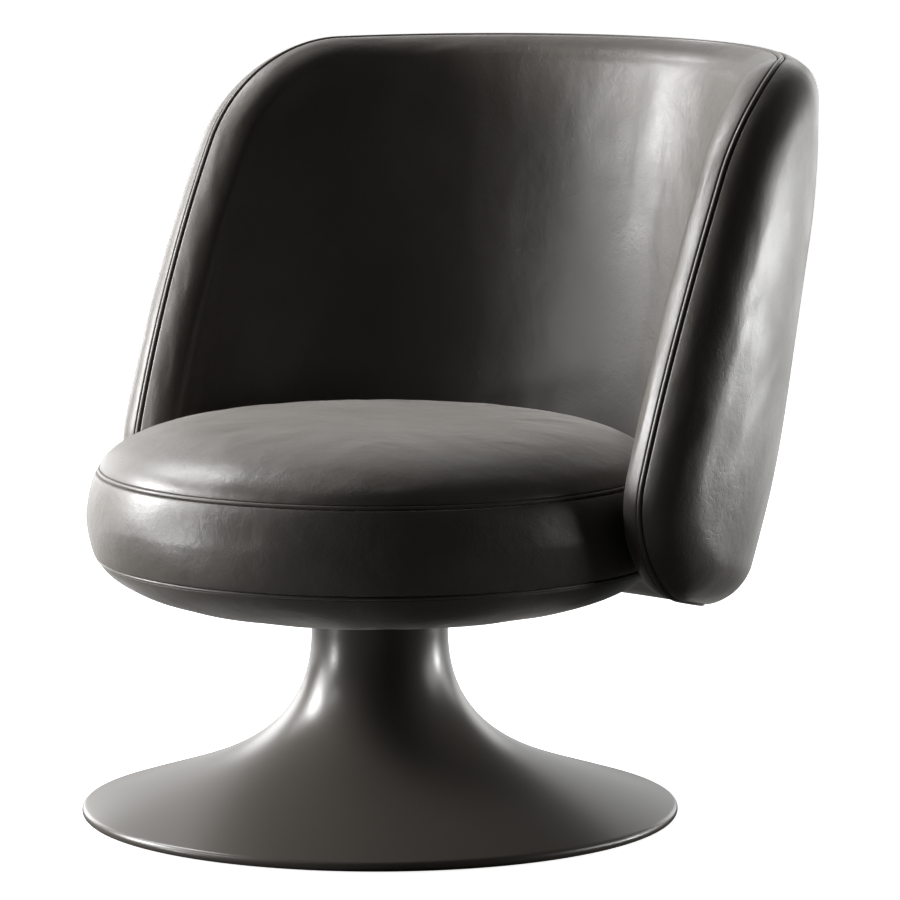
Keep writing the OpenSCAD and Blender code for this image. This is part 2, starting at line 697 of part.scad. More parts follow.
module back_outer_cover() {
  color(leather_color) pad(outer_face(leather_t), outer_face(0));
}

// Plain faces of the frame and of the foams that lie on it
frame_half = frame_t / 2;
function flat_stations(d, w) = concat([[d, 0, w, 0]], [for (f = crown_shares) [d, f, w, 0]]);
foam_edge = back_welt_sink + back_welt_r + soft_gap;
foam_back = [[foam_edge + soft_gap, 0, soft_gap / 2, 0], [frame_inset - soft_gap, 0, soft_gap / 2, 0]];
foam_on_frame = concat(foam_back, flat_stations(frame_inset - soft_gap, frame_half + soft_gap));

module back_frame() {
  color(wood_color) difference() {
    pad(flat_stations(frame_inset, -frame_half), flat_stations(frame_inset, frame_half));
    at_back_bolts() cylinder(r = insert_r, h = back_r + back_r, $fn = small_fn);
  }
}

module back_inner_foam() {
  color(foam_color) difference() {
    pad(inner_face(skin_in, foam_cut_share), flipped(foam_on_frame));
    back_bolt_holes(upper_welt_r, bolt_r + bolt_gap, back_r - upper_welt_r);
  }
}

module back_outer_foam() {
  color(foam_color) pad(foam_on_frame, outer_face(skin_in, foam_cut_share));
}

// The welt is a tube along the seam, with its middle sunk below the edge
welt_sides = 8;

module back_welt() {
  rings = [for (k = [0:welt_sides - 1]) let (a = k * turn / welt_sides)
    [back_welt_sink - back_welt_r * cos(a), 0, back_welt_r * sin(a), 0]];
  color(leather_color) polyhedron(points = [for (st = rings) each ring_points(st)],
    faces = [for (i = [0:welt_sides - 1]) each wall_faces(i, (i + 1) % welt_sides, false)]);
}

// The back is bolted to the seat ring: each bolt runs level, straight out from the swivel axis
back_bolt_angles = [-side_bolt_angle, -rear_bolt_angle, rear_bolt_angle, side_bolt_angle];
insert_r = 1.6 * bolt_r;
insert_h = 0.7 * frame_t;
back_bolt_lean = tan(back_lean_angle) * (back_bolt_z - lower_welt_z);
back_bolt_r = back_r + tan(back_flare_angle) * (back_bolt_z - lower_welt_z);
// Distance from the axis to the back's seam surface along a bolt
function back_reach(a) =
  back_bolt_lean * cos(a) + sqrt(pow(back_bolt_r, 2) - pow(back_bolt_lean * sin(a), 2));

// Places children with +Z along each back bolt
module at_back_bolts() {
  for (a = back_bolt_angles) translate([0, 0, back_bolt_z]) rotate([-turn / 4, 0, -a]) children();
}

module back_bolt_holes(from, r, length) {
  at_back_bolts() translate([0, 0, from]) cylinder(r = r, h = length, $fn = small_fn);
}

module back_bolts() {
  color("silver") for (a = back_bolt_angles)
    translate([0, 0, back_bolt_z]) rotate([-turn / 4, 0, -a]) {
      translate([0, 0, ring_in_r])
        cylinder(r = bolt_r, h = back_reach(a) + insert_h / 2 - ring_in_r, $fn = small_fn);
      translate([0, 0, ring_in_r - bolt_head_h])
        cylinder(r = bolt_head_r, h = bolt_head_h, $fn = hex_sides);
    }
}

module back_inserts() {
  color("goldenrod") for (a = back_bolt_angles)
    translate([0, 0, back_bolt_z]) rotate([-turn / 4, 0, -a])
      translate([0, 0, back_reach(a) - insert_h / 2]) difference() {
        cylinder(r = insert_r, h = insert_h, $fn = small_fn);
        translate([0, 0, -overrun]) cylinder(r = bolt_r, h = insert_h + 2 * overrun, $fn = small_fn);
      }
}

// A collar on each back bolt fills the space between the seat's band and the back's inner face,
// whose facets cut inside its true curve
module back_spacers() {
  spacer_r = 2.5 * bolt_r;
  facet_share = 0.7;
  facet_depth = (back_r - inner_pad) * (1 - cos(facet_share * wrap_low_angle / top_steps));
  from = seat_r + soft_gap;
  color("#1c1c1c") for (a = back_bolt_angles)
    translate([0, 0, back_bolt_z]) rotate([-turn / 4, 0, -a]) {
      to = back_reach(a) - inner_pad - facet_depth - soft_gap;
      difference() {
        translate([0, 0, from]) cylinder(r = spacer_r, h = to - from + spacer_r, $fn = small_fn);
        translate([0, 0, from - overrun])
          cylinder(r = bolt_r + bolt_gap, h = to - from + spacer_r + 2 * overrun, $fn = small_fn);
        translate([0, 0, to]) rotate([-back_lean_angle * cos(a), 0, 0])
          translate([-2 * spacer_r, -2 * spacer_r, 0]) cube(4 * spacer_r);
      }
    }
}

foot_shell();
foot_pad();
foot_weight();
column_flange();
flange_bolts();
column_tube();
neck_ring();
lower_bush();
upper_bush();
lower_race();
bearing_cage();
bearing_balls();
upper_race();
spindle();
spindle_washer();
spindle_circlip();
mounting_plate();
seat_bolts();
seat_tee_nuts();
seat_board();
seat_ring();
seat_webbing();
seat_foam();
band_foam();
seat_top_cover();
upper_welt();
side_band();
lower_welt();
under_cover();
under_pan();
neck_seal();
back_frame();
back_inner_foam();
back_outer_foam();
back_inner_cover();
back_outer_cover();
back_welt();
back_bolts();
back_spacers();
back_inserts();
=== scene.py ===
"""Pedestal swivel armchair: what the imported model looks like, in metres, in the model's own frame.

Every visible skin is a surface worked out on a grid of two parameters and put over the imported
solid that it stands for. Outlines are kept in millimetres until they become a mesh.
"""
import logging
import math
from dataclasses import dataclass, field
from enum import Enum

import bpy
import numpy as np
from mathutils import Matrix, Vector


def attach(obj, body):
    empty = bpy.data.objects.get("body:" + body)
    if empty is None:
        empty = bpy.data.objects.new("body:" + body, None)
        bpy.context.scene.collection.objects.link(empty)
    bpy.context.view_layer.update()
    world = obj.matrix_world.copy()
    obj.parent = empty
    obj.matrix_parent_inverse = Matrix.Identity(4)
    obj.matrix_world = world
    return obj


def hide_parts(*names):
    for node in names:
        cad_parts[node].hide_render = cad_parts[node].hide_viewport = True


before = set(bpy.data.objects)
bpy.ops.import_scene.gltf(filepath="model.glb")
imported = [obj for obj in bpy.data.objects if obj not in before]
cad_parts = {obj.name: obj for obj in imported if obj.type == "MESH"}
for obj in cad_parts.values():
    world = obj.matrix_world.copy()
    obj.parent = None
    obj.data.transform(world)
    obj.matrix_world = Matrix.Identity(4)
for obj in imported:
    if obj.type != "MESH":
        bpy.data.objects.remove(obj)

LOG = logging.getLogger("armchair")
MM = 0.001
# A tucked edge: the rows of its straight wall and of its arc, and the row where it ends.
WALL_ROWS, ARC_ROWS = 4, 9
SEAM_ROW = WALL_ROWS + ARC_ROWS - 1
PHOTO_PIXELS = 900.0
SENSOR = 36.0
CHARCOAL = (0.084, 0.075, 0.065)
SHEEN_TINT = (1.0, 0.97, 0.93)
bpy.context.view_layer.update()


# Outlines

def unit_rows(vectors: np.ndarray) -> np.ndarray:
    """Each row divided by its length."""
    return vectors / np.maximum(np.linalg.norm(vectors, axis=-1, keepdims=True), 1e-12)


def spaced(line: np.ndarray, count: int, pull: float = 1.0) -> np.ndarray:
    """Resamples a line by its length: the share of the length at step t is t to the power pull.

    Args:
        line: points (n, k).
        count: points in the result.
        pull: over 1 crowds the points towards the start.

    Returns:
        Points (count, k).
    """
    steps = np.r_[0.0, np.cumsum(np.linalg.norm(np.diff(line, axis=0), axis=1))]
    at = np.linspace(0, 1, count) ** pull * steps[-1]
    return np.stack([np.interp(at, steps, line[:, k]) for k in range(line.shape[1])], axis=1)


def beside(line: np.ndarray, distance: float) -> np.ndarray:
    """Moves a line sideways, to the right of its direction of travel."""
    way = unit_rows(np.gradient(line, axis=0))
    return line + distance * np.stack([way[:, 1], -way[:, 0]], axis=1)


def tucked(line: np.ndarray, lip: float, depth: float, side: float,
           into: np.ndarray | None = None) -> np.ndarray:
    """Turns the start of a line into a seam: an arc of radius lip, then a straight tuck.

    The arc leaves the line one lip length from its start, bends back towards the seam and then
    runs into the padding. In the result the arc meets the line at SEAM_ROW.

    Args:
        line: points (n, 2), from the seam outwards.
        lip: radius of the rolled edge.
        depth: length of the straight tuck.
        side: 1 if the padding lies to the right of travel, -1 if it lies to the left.
        into: unit direction of the tuck, or else square to the line.

    Returns:
        The new line, from the bottom of the groove to the far end.
    """
    steps = np.r_[0.0, np.cumsum(np.linalg.norm(np.diff(line, axis=0), axis=1))]
    keep = line[steps > lip]
    start = np.array([np.interp(lip, steps, line[:, k]) for k in (0, 1)])
    way = unit_rows((keep[0] - line[0])[None])[0]
    inside = side * np.array([way[1], -way[0]])
    into = inside if into is None else into
    first = side * np.array([-into[1], into[0]])
    wide = math.acos(float(np.clip(first @ inside, -1, 1)))
    turn = np.linspace(0, 1, ARC_ROWS)[:, None] * wide
    toward = (first * np.sin(wide - turn) + inside * np.sin(turn)) / math.sin(wide)
    arc = start + lip * inside - lip * toward
    wall = arc[0] + np.linspace(depth, 0, WALL_ROWS + 1)[:-1, None] * into
    return np.vstack([wall, arc, keep])


def bezier(a: np.ndarray, b: np.ndarray, c: np.ndarray, d: np.ndarray, count: int) -> np.ndarray:
    """Points of a cubic curve from a to d, pulled by b and c."""
    t = np.linspace(0, 1, count)[:, None]
    return (1 - t) ** 3 * a + 3 * (1 - t) ** 2 * t * b + 3 * (1 - t) * t * t * c + t ** 3 * d


# Meshes

def grid_faces(rows: int, columns: int, closed_rows: bool) -> np.ndarray:
    """Quads between neighbours of a grid whose columns run round and close on themselves.

    Args:
        rows: rings of the grid.
        columns: points of a ring.
        closed_rows: the last ring joins the first.

    Returns:
        Vertex numbers (m, 4).
    """
    row = np.arange(rows if closed_rows else rows - 1)
    a = row[:, None] * columns + np.arange(columns)
    b = row[:, None] * columns + (np.arange(columns) + 1) % columns
    up = ((row[:, None] + 1) % rows) * columns
    c, d = up + (np.arange(columns) + 1) % columns, up + np.arange(columns)
    return np.stack([a, b, c, d], axis=-1).reshape(-1, 4)


def mesh_piece(name: str, points: np.ndarray, quads: np.ndarray, tris: np.ndarray,
               inside: np.ndarray | None = None) -> bpy.types.Object:
    """Makes an object at the origin from whole arrays, its faces turned outwards.

    Args:
        name: the piece's name.
        points: vertices (n, 3) in millimetres.
        quads: vertex numbers (m, 4).
        tris: vertex numbers (k, 3).
        inside: for an open skin, a point for each quad that it looks away from; a closed form is
            turned by the sign of its volume.

    Returns:
        The object, smooth-shaded.
    """
    corner = points[quads]
    normal = np.cross(corner[:, 2] - corner[:, 0], corner[:, 3] - corner[:, 1])
    middle = corner.mean(axis=1)
    away = middle - (points.mean(axis=0) if inside is None else inside)
    if np.einsum("ij,ij->", normal, away) < 0:
        quads, tris = quads[:, ::-1], tris[:, ::-1]
    mesh = bpy.data.meshes.new(name)
    mesh.vertices.add(len(points))
    mesh.vertices.foreach_set("co", (points * MM).astype(np.float32).ravel())
    mesh.loops.add(quads.size + tris.size)
    mesh.loops.foreach_set("vertex_index", np.r_[quads.ravel(), tris.ravel()].astype(np.int32))
    starts = np.r_[np.arange(len(quads)) * 4, quads.size + np.arange(len(tris)) * 3]
    mesh.polygons.add(len(quads) + len(tris))
    mesh.polygons.foreach_set("loop_start", starts.astype(np.int32))
    mesh.update(calc_edges=True)
    mesh.validate()
    mesh.shade_smooth()
    piece = bpy.data.objects.new(name, mesh)
    bpy.context.scene.collection.objects.link(piece)
    return piece


@dataclass
class Sheet:
    """A grid of points that becomes one mesh; its columns run round and close.

    Attributes:
        rings: points (rows, count, 3) in millimetres.
        closed: the last ring joins the first.
        first: for each column, the column whose vertex it shares on the first ring.
        last: the same for the last ring.
        pull: an open sheet looks away from its own points moved horizontally by this factor.
        level: the height of the place that it looks away from, or else its own.
    """
    rings: np.ndarray
    closed: bool = False
    first: np.ndarray | None = None
    last: np.ndarray | None = None
    pull: float | None = None
    level: float | None = None

    def numbers(self) -> tuple[np.ndarray, np.ndarray]:
        """Numbers the vertices, a shared one once.

        Returns:
            The vertex number of each place in the grid, and the place that each vertex takes.
        """
        rows, count = self.rings.shape[:2]
        same = np.arange(rows * count).reshape(rows, count)
        if self.first is not None:
            same[0] = same[0][self.first]
        if self.last is not None:
            same[-1] = same[-1][self.last]
        used, number = np.unique(same, return_inverse=True)
        return number.reshape(rows, count), used

    def piece(self, name: str) -> bpy.types.Object:
        """Makes the mesh; quads pinched by a shared vertex become triangles.

        Args:
            name: the piece's name.

        Returns:
            The object.
        """
        number, used = self.numbers()
        faces = number.ravel()[grid_faces(*number.shape, self.closed)]
        pinched = faces == np.roll(faces, 1, axis=1)
        plain = ~pinched.any(axis=1)
        tris = faces[~plain][~pinched[~plain]].reshape(-1, 3)
        points = self.rings.reshape(-1, 3)[used]
        inside = None
        if self.pull is not None:
            inside = points[faces[plain]].mean(axis=1) * [self.pull, self.pull, 1.0]
            if self.level is not None:
                inside[:, 2] = self.level
        return mesh_piece(name, points, faces[plain], tris, inside)

    def coarse(self, rows: np.ndarray) -> "Sheet":
        """Every second column of the given rows."""
        last = None if self.last is None else self.last[::2] // 2
        return Sheet(self.rings[rows][:, ::2], last=last, pull=self.pull, level=self.level)


def turned_sheet(line: np.ndarray, around: int, pole: bool = False, **kind: object) -> Sheet:
    """Spins a line of (radius, height) round the swivel axis.

    Args:
        line: points (n, 2) in millimetres.
        around: copies of the line.
        pole: the last point lies on the axis, where every column shares one vertex.
        kind: other attributes of the sheet.

    Returns:
        The sheet.
    """
    angle = np.arange(around) * 2 * math.pi / around
    rings = np.stack([line[:, :1] * np.cos(angle), line[:, :1] * np.sin(angle),
                      np.broadcast_to(line[:, 1:], (len(line), around))], axis=-1)
    return Sheet(rings, last=np.zeros(around, dtype=int) if pole else None, **kind)


# Padding

def blurred(grid: np.ndarray, times: int) -> np.ndarray:
    """Averages each point of a grid with its neighbours, round the columns and along the rows.

    Args:
        grid: values (rows, columns, k).
        times: how often.

    Returns:
        The averaged values.
    """
    for _ in range(times):
        grid = (np.roll(grid, 1, axis=1) + 2 * grid + np.roll(grid, -1, axis=1)) / 4
        edged = np.concatenate([grid[:1], grid, grid[-1:]])
        grid = (edged[:-2] + 2 * grid + edged[2:]) / 4
    return grid


@dataclass(frozen=True)
class Padding:
    """How a padded skin is blown up: a cloth simulation that starts a little inside its place.

    Attributes:
        start: how far inside its place the skin starts, in millimetres.
        uneven: share by which that wanders.
        seed: of the draw that it wanders by.
        pressure: air pressure under the skin.
        cap: the furthest that a point may end from its place, in millimetres.
        slack: share by which the leather is larger than its place.
        bending: resistance to bending.
        form: share of the broad swell that is kept; folds and dimples are kept whole.
        broad: passes of averaging that leave only the broad swell.
        stretch: resistance to stretching.
        shear: resistance to shearing.
        frames: length of the simulation.
        near_fade: rows over which the moves fade in from the first seam.
        far_fade: the same at the far end.
        gap: the distance between columns under which the skin stays still, in millimetres.
        gap_fade: the further distance over which it becomes free.
    """
    start: float = 0.8
    uneven: float = 0.5
    seed: int = 11
    pressure: float = 4.0
    cap: float = 0.4
    slack: float = 0.003
    bending: float = 8.0
    form: float = 0.1
    broad: int = 30
    stretch: float = 60.0
    shear: float = 30.0
    frames: int = 20
    near_fade: float = 4.0
    far_fade: float = 5.0
    gap: float = 2.0
    gap_fade: float = 6.0

    def simulate(self, sheet: Sheet, held: np.ndarray) -> np.ndarray:
        """Runs the simulation on a sheet.

        Args:
            sheet: the skin, with its seam on the first ring.
            held: for each row, 1 where a seam holds it.

        Returns:
            How far each point of the grid has moved, in millimetres.
        """
        piece = sheet.piece("padding_test")
        mesh = piece.data
        number, used = sheet.numbers()
        count = len(used)
        place, normal = (np.zeros(count * 3, dtype=np.float32) for _ in range(2))
        mesh.vertices.foreach_get("co", place)
        mesh.vertices.foreach_get("normal", normal)
        place, normal = place.reshape(-1, 3), normal.reshape(-1, 3)
        uneven = blurred(np.random.default_rng(self.seed).normal(size=number.shape), 5)
        uneven = (1 + self.uneven * uneven / uneven.std()).ravel()[used][:, None]
        weight = np.repeat(held, number.shape[1])[used]
        inner = place - normal * (1 - weight[:, None]) * uneven * self.start * MM
        mesh.vertices.foreach_set("co", inner.astype(np.float32).ravel())
        mesh.update()
        seam = piece.vertex_groups.new(name="seam")
        seam.add(np.nonzero(weight > 0.5)[0].tolist(), 1.0, "REPLACE")
        cloth = piece.modifiers.new("leather", "CLOTH")
        rules = cloth.settings
        rules.quality = 5
        rules.mass = 0.4
        rules.air_damping = 4.0
        rules.tension_stiffness = rules.compression_stiffness = self.stretch
        rules.shear_stiffness = self.shear
        rules.bending_stiffness = self.bending
        rules.use_pressure = True
        rules.uniform_pressure_force = self.pressure
        rules.shrink_min = -self.slack
        rules.vertex_group_mass = "seam"
        rules.effector_weights.gravity = 0.0
        cloth.collision_settings.use_collision = False
        cloth.collision_settings.use_self_collision = False
        cloth.point_cache.frame_start, cloth.point_cache.frame_end = 1, self.frames
        stage = bpy.context.scene
        for step in range(1, self.frames + 1):
            stage.frame_set(step)
        shape = piece.evaluated_get(bpy.context.evaluated_depsgraph_get()).data
        settled = np.zeros(count * 3, dtype=np.float32)
        shape.vertices.foreach_get("co", settled)
        move = (settled.reshape(-1, 3) - place) / MM
        stage.frame_set(1)
        bpy.data.objects.remove(piece)
        bpy.data.meshes.remove(mesh)
        return move[number]

    def settle(self, sheet: Sheet, name: str, both_ends: bool = False) -> Sheet:
        """Blows up a sheet between its seams.

        The simulation runs on every second row and column. Its broad swell is reduced, each move
        is capped, and it fades out towards the seams and where the columns run together.

        Args:
            sheet: the skin, with a tucked edge before SEAM_ROW.
            name: what the log calls it.
            both_ends: the far end has a tucked edge too.

        Returns:
            The settled sheet.
        """
        rows = len(sheet.rings)
        end = rows - 1 - (SEAM_ROW if both_ends else 0)
        picked = np.unique(np.r_[np.arange(SEAM_ROW, end, 2), end])
        held = np.zeros(len(picked))
        held[0] = 1.0
        if sheet.last is None:
            held[-1] = 1.0
        coarse = sheet.coarse(picked)
        move = self.simulate(coarse, held)
        move -= (1 - self.form) * blurred(move, self.broad)
        gap = np.linalg.norm(np.roll(coarse.rings, -1, axis=1) - coarse.rings, axis=2)
        move *= blurred(np.clip((gap - self.gap) / self.gap_fade, 0, 1)[..., None], 4)
        step = np.arange(len(picked))
        edge = np.minimum(np.minimum(step / self.near_fade, 1), step[::-1] / self.far_fade)
        far = np.linalg.norm(move, axis=2, keepdims=True)
        move *= self.cap * np.tanh(far / self.cap) / np.maximum(far, 1e-9) * edge[:, None, None]
        LOG.info("%s settled: mean move %.2f mm, furthest %.2f mm", name, far.mean(), far.max())
        fine = np.repeat(move, 2, axis=1)
        fine[:, 1::2] = (move + np.roll(move, -1, axis=1)) / 2
        at = np.clip(np.interp(np.arange(rows), picked, np.arange(len(picked))), 0,
                     len(picked) - 1)
        low = np.minimum(at.astype(int), len(picked) - 2)
        part = (at - low)[:, None, None]
        fine = fine[low] * (1 - part) + fine[low + 1] * part
        fine[:-1] = blurred(fine, 1)[:-1]
        fine[:SEAM_ROW] = 0.0
        if both_ends:
            fine[end + 1:] = 0.0
        sheet.rings = sheet.rings + fine
        return sheet


def leather_wall(piece: bpy.types.Object, thickness: float) -> None:
    """Gives an open skin its thickness, inwards, with closed edges.

    Args:
        piece: the skin.
        thickness: in millimetres.
    """
    wall = piece.modifiers.new("wall", "SOLIDIFY")
    wall.thickness = thickness * MM
    wall.offset = -1.0
    wall.use_rim = True


# Finishes

class Graph:
    """Places and links the nodes of one material or one node group."""

    def __init__(self, tree: bpy.types.NodeTree) -> None:
        """Keeps the tree that the nodes go into."""
        self.tree = tree

    def add(self, kind: str, inputs: dict | None = None, **settings: object) -> bpy.types.Node:
        """Adds one node.

        Args:
            kind: Blender's name of the node.
            inputs: a value or an output socket for each named or numbered input.
            settings: the node's own attributes.

        Returns:
            The node.
        """
        node = self.tree.nodes.new(kind)
        for key, value in settings.items():
            setattr(node, key, value)
        for key, value in (inputs or {}).items():
            if isinstance(value, bpy.types.NodeSocket):
                self.tree.links.new(value, node.inputs[key])
            else:
                node.inputs[key].default_value = value
        return node

    def math(self, operation: str, a: object, b: object = 0.0,
             c: object = 0.0) -> bpy.types.NodeSocket:
        """One Math node's output."""
        return self.add("ShaderNodeMath", {0: a, 1: b, 2: c}, operation=operation).outputs[0]

    def vector(self, operation: str, a: object, b: object = (0.0, 0.0, 0.0),
               scale: object = 1.0) -> bpy.types.NodeSocket:
        """One Vector Math node's vector, or its value for a dot product or a length."""
        node = self.add("ShaderNodeVectorMath", {0: a, 1: b, 3: scale}, operation=operation)
        return node.outputs["Value" if operation in ("DOT_PRODUCT", "LENGTH") else "Vector"]

    def span(self, value: object, low: float, high: float, to_low: float = 0.0,
             to_high: float = 1.0) -> bpy.types.NodeSocket:
        """Maps a value from one range to another, smoothly and clamped."""
        return self.add("ShaderNodeMapRange", {0: value, 1: low, 2: high, 3: to_low, 4: to_high},
                        interpolation_type="SMOOTHSTEP").outputs[0]

    def noise(self, where: object, scale: float, detail: float = 2.0,
              rough: float = 0.5) -> bpy.types.NodeSocket:
        """A noise texture's value."""
        return self.add("ShaderNodeTexNoise", {"Vector": where, "Scale": scale, "Detail": detail,
                                               "Roughness": rough}).outputs[0]

    def cells(self, where: object, scale: float, feature: str = "F1") -> bpy.types.NodeSocket:
        """A Voronoi texture's distance."""
        return self.add("ShaderNodeTexVoronoi", {"Vector": where, "Scale": scale},
                        feature=feature).outputs["Distance"]


def fresh(owner: bpy.types.Material | bpy.types.World) -> Graph:
    """Starts the nodes of a material or a world.

    Args:
        owner: the material or the world.

    Returns:
        The graph of its empty node tree.
    """
    owner.use_nodes = True
    owner.node_tree.nodes.clear()
    return Graph(owner.node_tree)


def new_group(name: str, inputs: dict[str, float], *outputs: str) -> Graph:
    """Starts a node group with a vector input named Where.

    Args:
        name: the group's name.
        inputs: a default value for each float input.
        outputs: names of the float outputs.

    Returns:
        The graph to fill.
    """
    tree = bpy.data.node_groups.new(name, "ShaderNodeTree")
    tree.interface.new_socket("Where", in_out="INPUT", socket_type="NodeSocketVector")
    for key, value in inputs.items():
        tree.interface.new_socket(key, in_out="INPUT",
                                  socket_type="NodeSocketFloat").default_value = value
    for key in outputs:
        tree.interface.new_socket(key, in_out="OUTPUT", socket_type="NodeSocketFloat")
    return Graph(tree)


def hide_grain_group() -> bpy.types.NodeTree:
    """Leather's surface: small pebbles, short creases in places, and soft hollows of the padding.

    Height is pebbles from cell distance, minus creases along cell borders where a slow and a
    fine noise both allow them, plus a slow noise and a mottle a centimetre across.

    Returns:
        The node group.
    """
    g = new_group("hide_grain", {"Pebble": 900.0, "Crease": 95.0, "Swell": 16.0,
                                 "Crease Depth": 0.5, "Swell Depth": 0.5, "Mottle Depth": 1.0},
                  "Height")
    into = g.add("NodeGroupInput").outputs
    where = into["Where"]
    warp = g.add("ShaderNodeTexNoise", {"Vector": where, "Scale": 60.0, "Detail": 1.0}).outputs[1]
    bent = g.vector("ADD", where, g.vector("MULTIPLY", warp, (0.004,) * 3))
    pebbles = g.cells(bent, into["Pebble"], "SMOOTH_F1")
    line = g.span(g.cells(bent, into["Crease"], "DISTANCE_TO_EDGE"), 0.0, 0.09, 1.0, 0.0)
    zones = g.span(g.noise(where, 9.0, 2.0), 0.5, 0.66)
    broken = g.span(g.noise(where, 160.0, 1.0), 0.45, 0.6)
    creases = g.math("MULTIPLY", g.math("MULTIPLY", line, zones), broken)
    height = g.math("MULTIPLY_ADD", creases, g.math("MULTIPLY", into["Crease Depth"], -1.0),
                    g.math("MULTIPLY", pebbles, 0.35))
    for wave, depth in ((g.noise(where, into["Swell"], 2.0, 0.4), into["Swell Depth"]),
                        (g.noise(bent, 85.0, 3.0, 0.6), into["Mottle Depth"])):
        height = g.math("MULTIPLY_ADD", wave, depth, height)
    return g.add("NodeGroupOutput", {"Height": height}).id_data


def soft_wear_group() -> bpy.types.NodeTree:
    """Uneven tone: a slow cloud with finer smudges in it.

    Tone is one plus Amount times the centred cloud, Smudge is the cloud from 0 to 1.

    Returns:
        The node group.
    """
    g = new_group("soft_wear", {"Size": 7.0, "Amount": 0.2}, "Tone", "Smudge")
    into = g.add("NodeGroupInput").outputs
    smudge = g.span(g.noise(into["Where"], into["Size"], 5.0, 0.6), 0.3, 0.7)
    tone = g.math("MULTIPLY_ADD", g.math("SUBTRACT", smudge, 0.5), into["Amount"], 1.0)
    return g.add("NodeGroupOutput", {"Tone": tone, "Smudge": smudge}).id_data


GRAIN = hide_grain_group()
WEAR = soft_wear_group()


def rgba(color: tuple[float, float, float]) -> tuple[float, float, float, float]:
    """A colour with full cover."""
    return (*color, 1.0)


@dataclass(frozen=True)
class Finish:
    """A finish: its colour, gloss and unevenness, and a fine rounded grain.

    Each other kind has a surface of its own in the grain's place.

    Attributes:
        name: the material's name.
        color: linear base colour.
        roughness: mean roughness of the shader.
        uneven: share by which the tone wanders; the gloss wanders as much.
        metallic: 1 for bare metal.
        slot: the record's material slot.
        bumps: scale, detail and roughness of the surface's noise, and its height in metres.
    """
    name: str
    color: tuple[float, float, float]
    roughness: float = 0.5
    uneven: float = 0.12
    metallic: float = 0.0
    slot: str = ""
    bumps: tuple[float, float, float, float] = (1500.0, 4.0, 0.6, 0.00006)

    def surface(self, g: Graph, where: bpy.types.NodeSocket) -> tuple[object, float]:
        """Fine rounded grain.

        Args:
            g: the material's graph.
            where: Object coordinates.

        Returns:
            The height that the bump reads, and its distance in metres.
        """
        return g.noise(where, *self.bumps[:3]), self.bumps[3]

    def shade(self, g: Graph, where: bpy.types.NodeSocket, shader: bpy.types.Node) -> None:
        """Anything more that this kind of finish sets on the shader.

        Args:
            g: the material's graph.
            where: Object coordinates.
            shader: its Principled BSDF.
        """

    def material(self) -> bpy.types.Material:
        """Builds the material, once for each finish.

        Returns:
            The material.
        """
        found = bpy.data.materials.get(self.name)
        if found:
            return found
        made = bpy.data.materials.new(self.name)
        made.diffuse_color = rgba(self.color)
        g = fresh(made)
        where = g.add("ShaderNodeTexCoord").outputs["Object"]
        wear = g.add("ShaderNodeGroup", {"Where": where, "Amount": self.uneven},
                     node_tree=WEAR).outputs
        rough = g.span(wear["Smudge"], 0.0, 1.0, self.roughness * (1 - self.uneven),
                       min(1.0, self.roughness * (1 + self.uneven)))
        height, depth = self.surface(g, where)
        bump = g.add("ShaderNodeBump", {"Height": height, "Strength": 1.0, "Distance": depth})
        shader = g.add("ShaderNodeBsdfPrincipled", {
            "Base Color": g.vector("SCALE", self.color, scale=wear["Tone"]),
            "Metallic": self.metallic, "Roughness": rough, "Normal": bump.outputs[0]})
        self.shade(g, where, shader)
        g.add("ShaderNodeOutputMaterial", {"Surface": shader.outputs[0]})
        return made


@dataclass(frozen=True)
class Leather(Finish):
    """Smooth furniture leather with a soft coat."""
    grain: float = 0.00035
    crease: float = 0.3
    swell: float = 5.0
    mottle: float = 1.3
    coat: float = 0.1
    sheen: float = 0.3

    def surface(self, g: Graph, where: bpy.types.NodeSocket) -> tuple[object, float]:
        """Pebbles, creases and slow hollows from the shared grain.

        Args:
            g: the material's graph.
            where: Object coordinates.

        Returns:
            The height that the bump reads, and its distance in metres.
        """
        grain = g.add("ShaderNodeGroup", {
            "Where": where, "Crease Depth": self.crease, "Swell Depth": self.swell,
            "Mottle Depth": self.mottle}, node_tree=GRAIN)
        return grain.outputs["Height"], self.grain

    def shade(self, g: Graph, where: bpy.types.NodeSocket, shader: bpy.types.Node) -> None:
        """A thin coat over the dyed hide, and a soft sheen that lights its edges.

        Args:
            g: the material's graph.
            where: Object coordinates.
            shader: its Principled BSDF.
        """
        for name, value in {"Coat Weight": self.coat, "Coat Roughness": 0.3,
                            "Specular IOR Level": 0.55, "Sheen Weight": self.sheen,
                            "Sheen Roughness": 0.35, "Sheen Tint": rgba(SHEEN_TINT)}.items():
            shader.inputs[name].default_value = value


class Work(Enum):
    """How a metal piece's surface was made."""
    TURNED = 1
    CAST = 2
    PLATED = 3


@dataclass(frozen=True)
class Metal(Finish):
    """Bare or plated metal."""
    work: Work = Work.PLATED

    def surface(self, g: Graph, where: bpy.types.NodeSocket) -> tuple[object, float]:
        """Rings round the axis if turned, pits if cast, a faint skin if plated.

        Args:
            g: the material's graph.
            where: Object coordinates.

        Returns:
            The height that the bump reads, and its distance in metres.
        """
        if self.work is Work.TURNED:
            flat = g.vector("MULTIPLY", where, (0.02, 0.02, 1.0))
            return g.noise(flat, 2600.0, 2.0), 0.00003
        if self.work is Work.CAST:
            return g.noise(where, 420.0, 6.0, 0.65), 0.0004
        return g.noise(where, 1200.0, 2.0), 0.00001


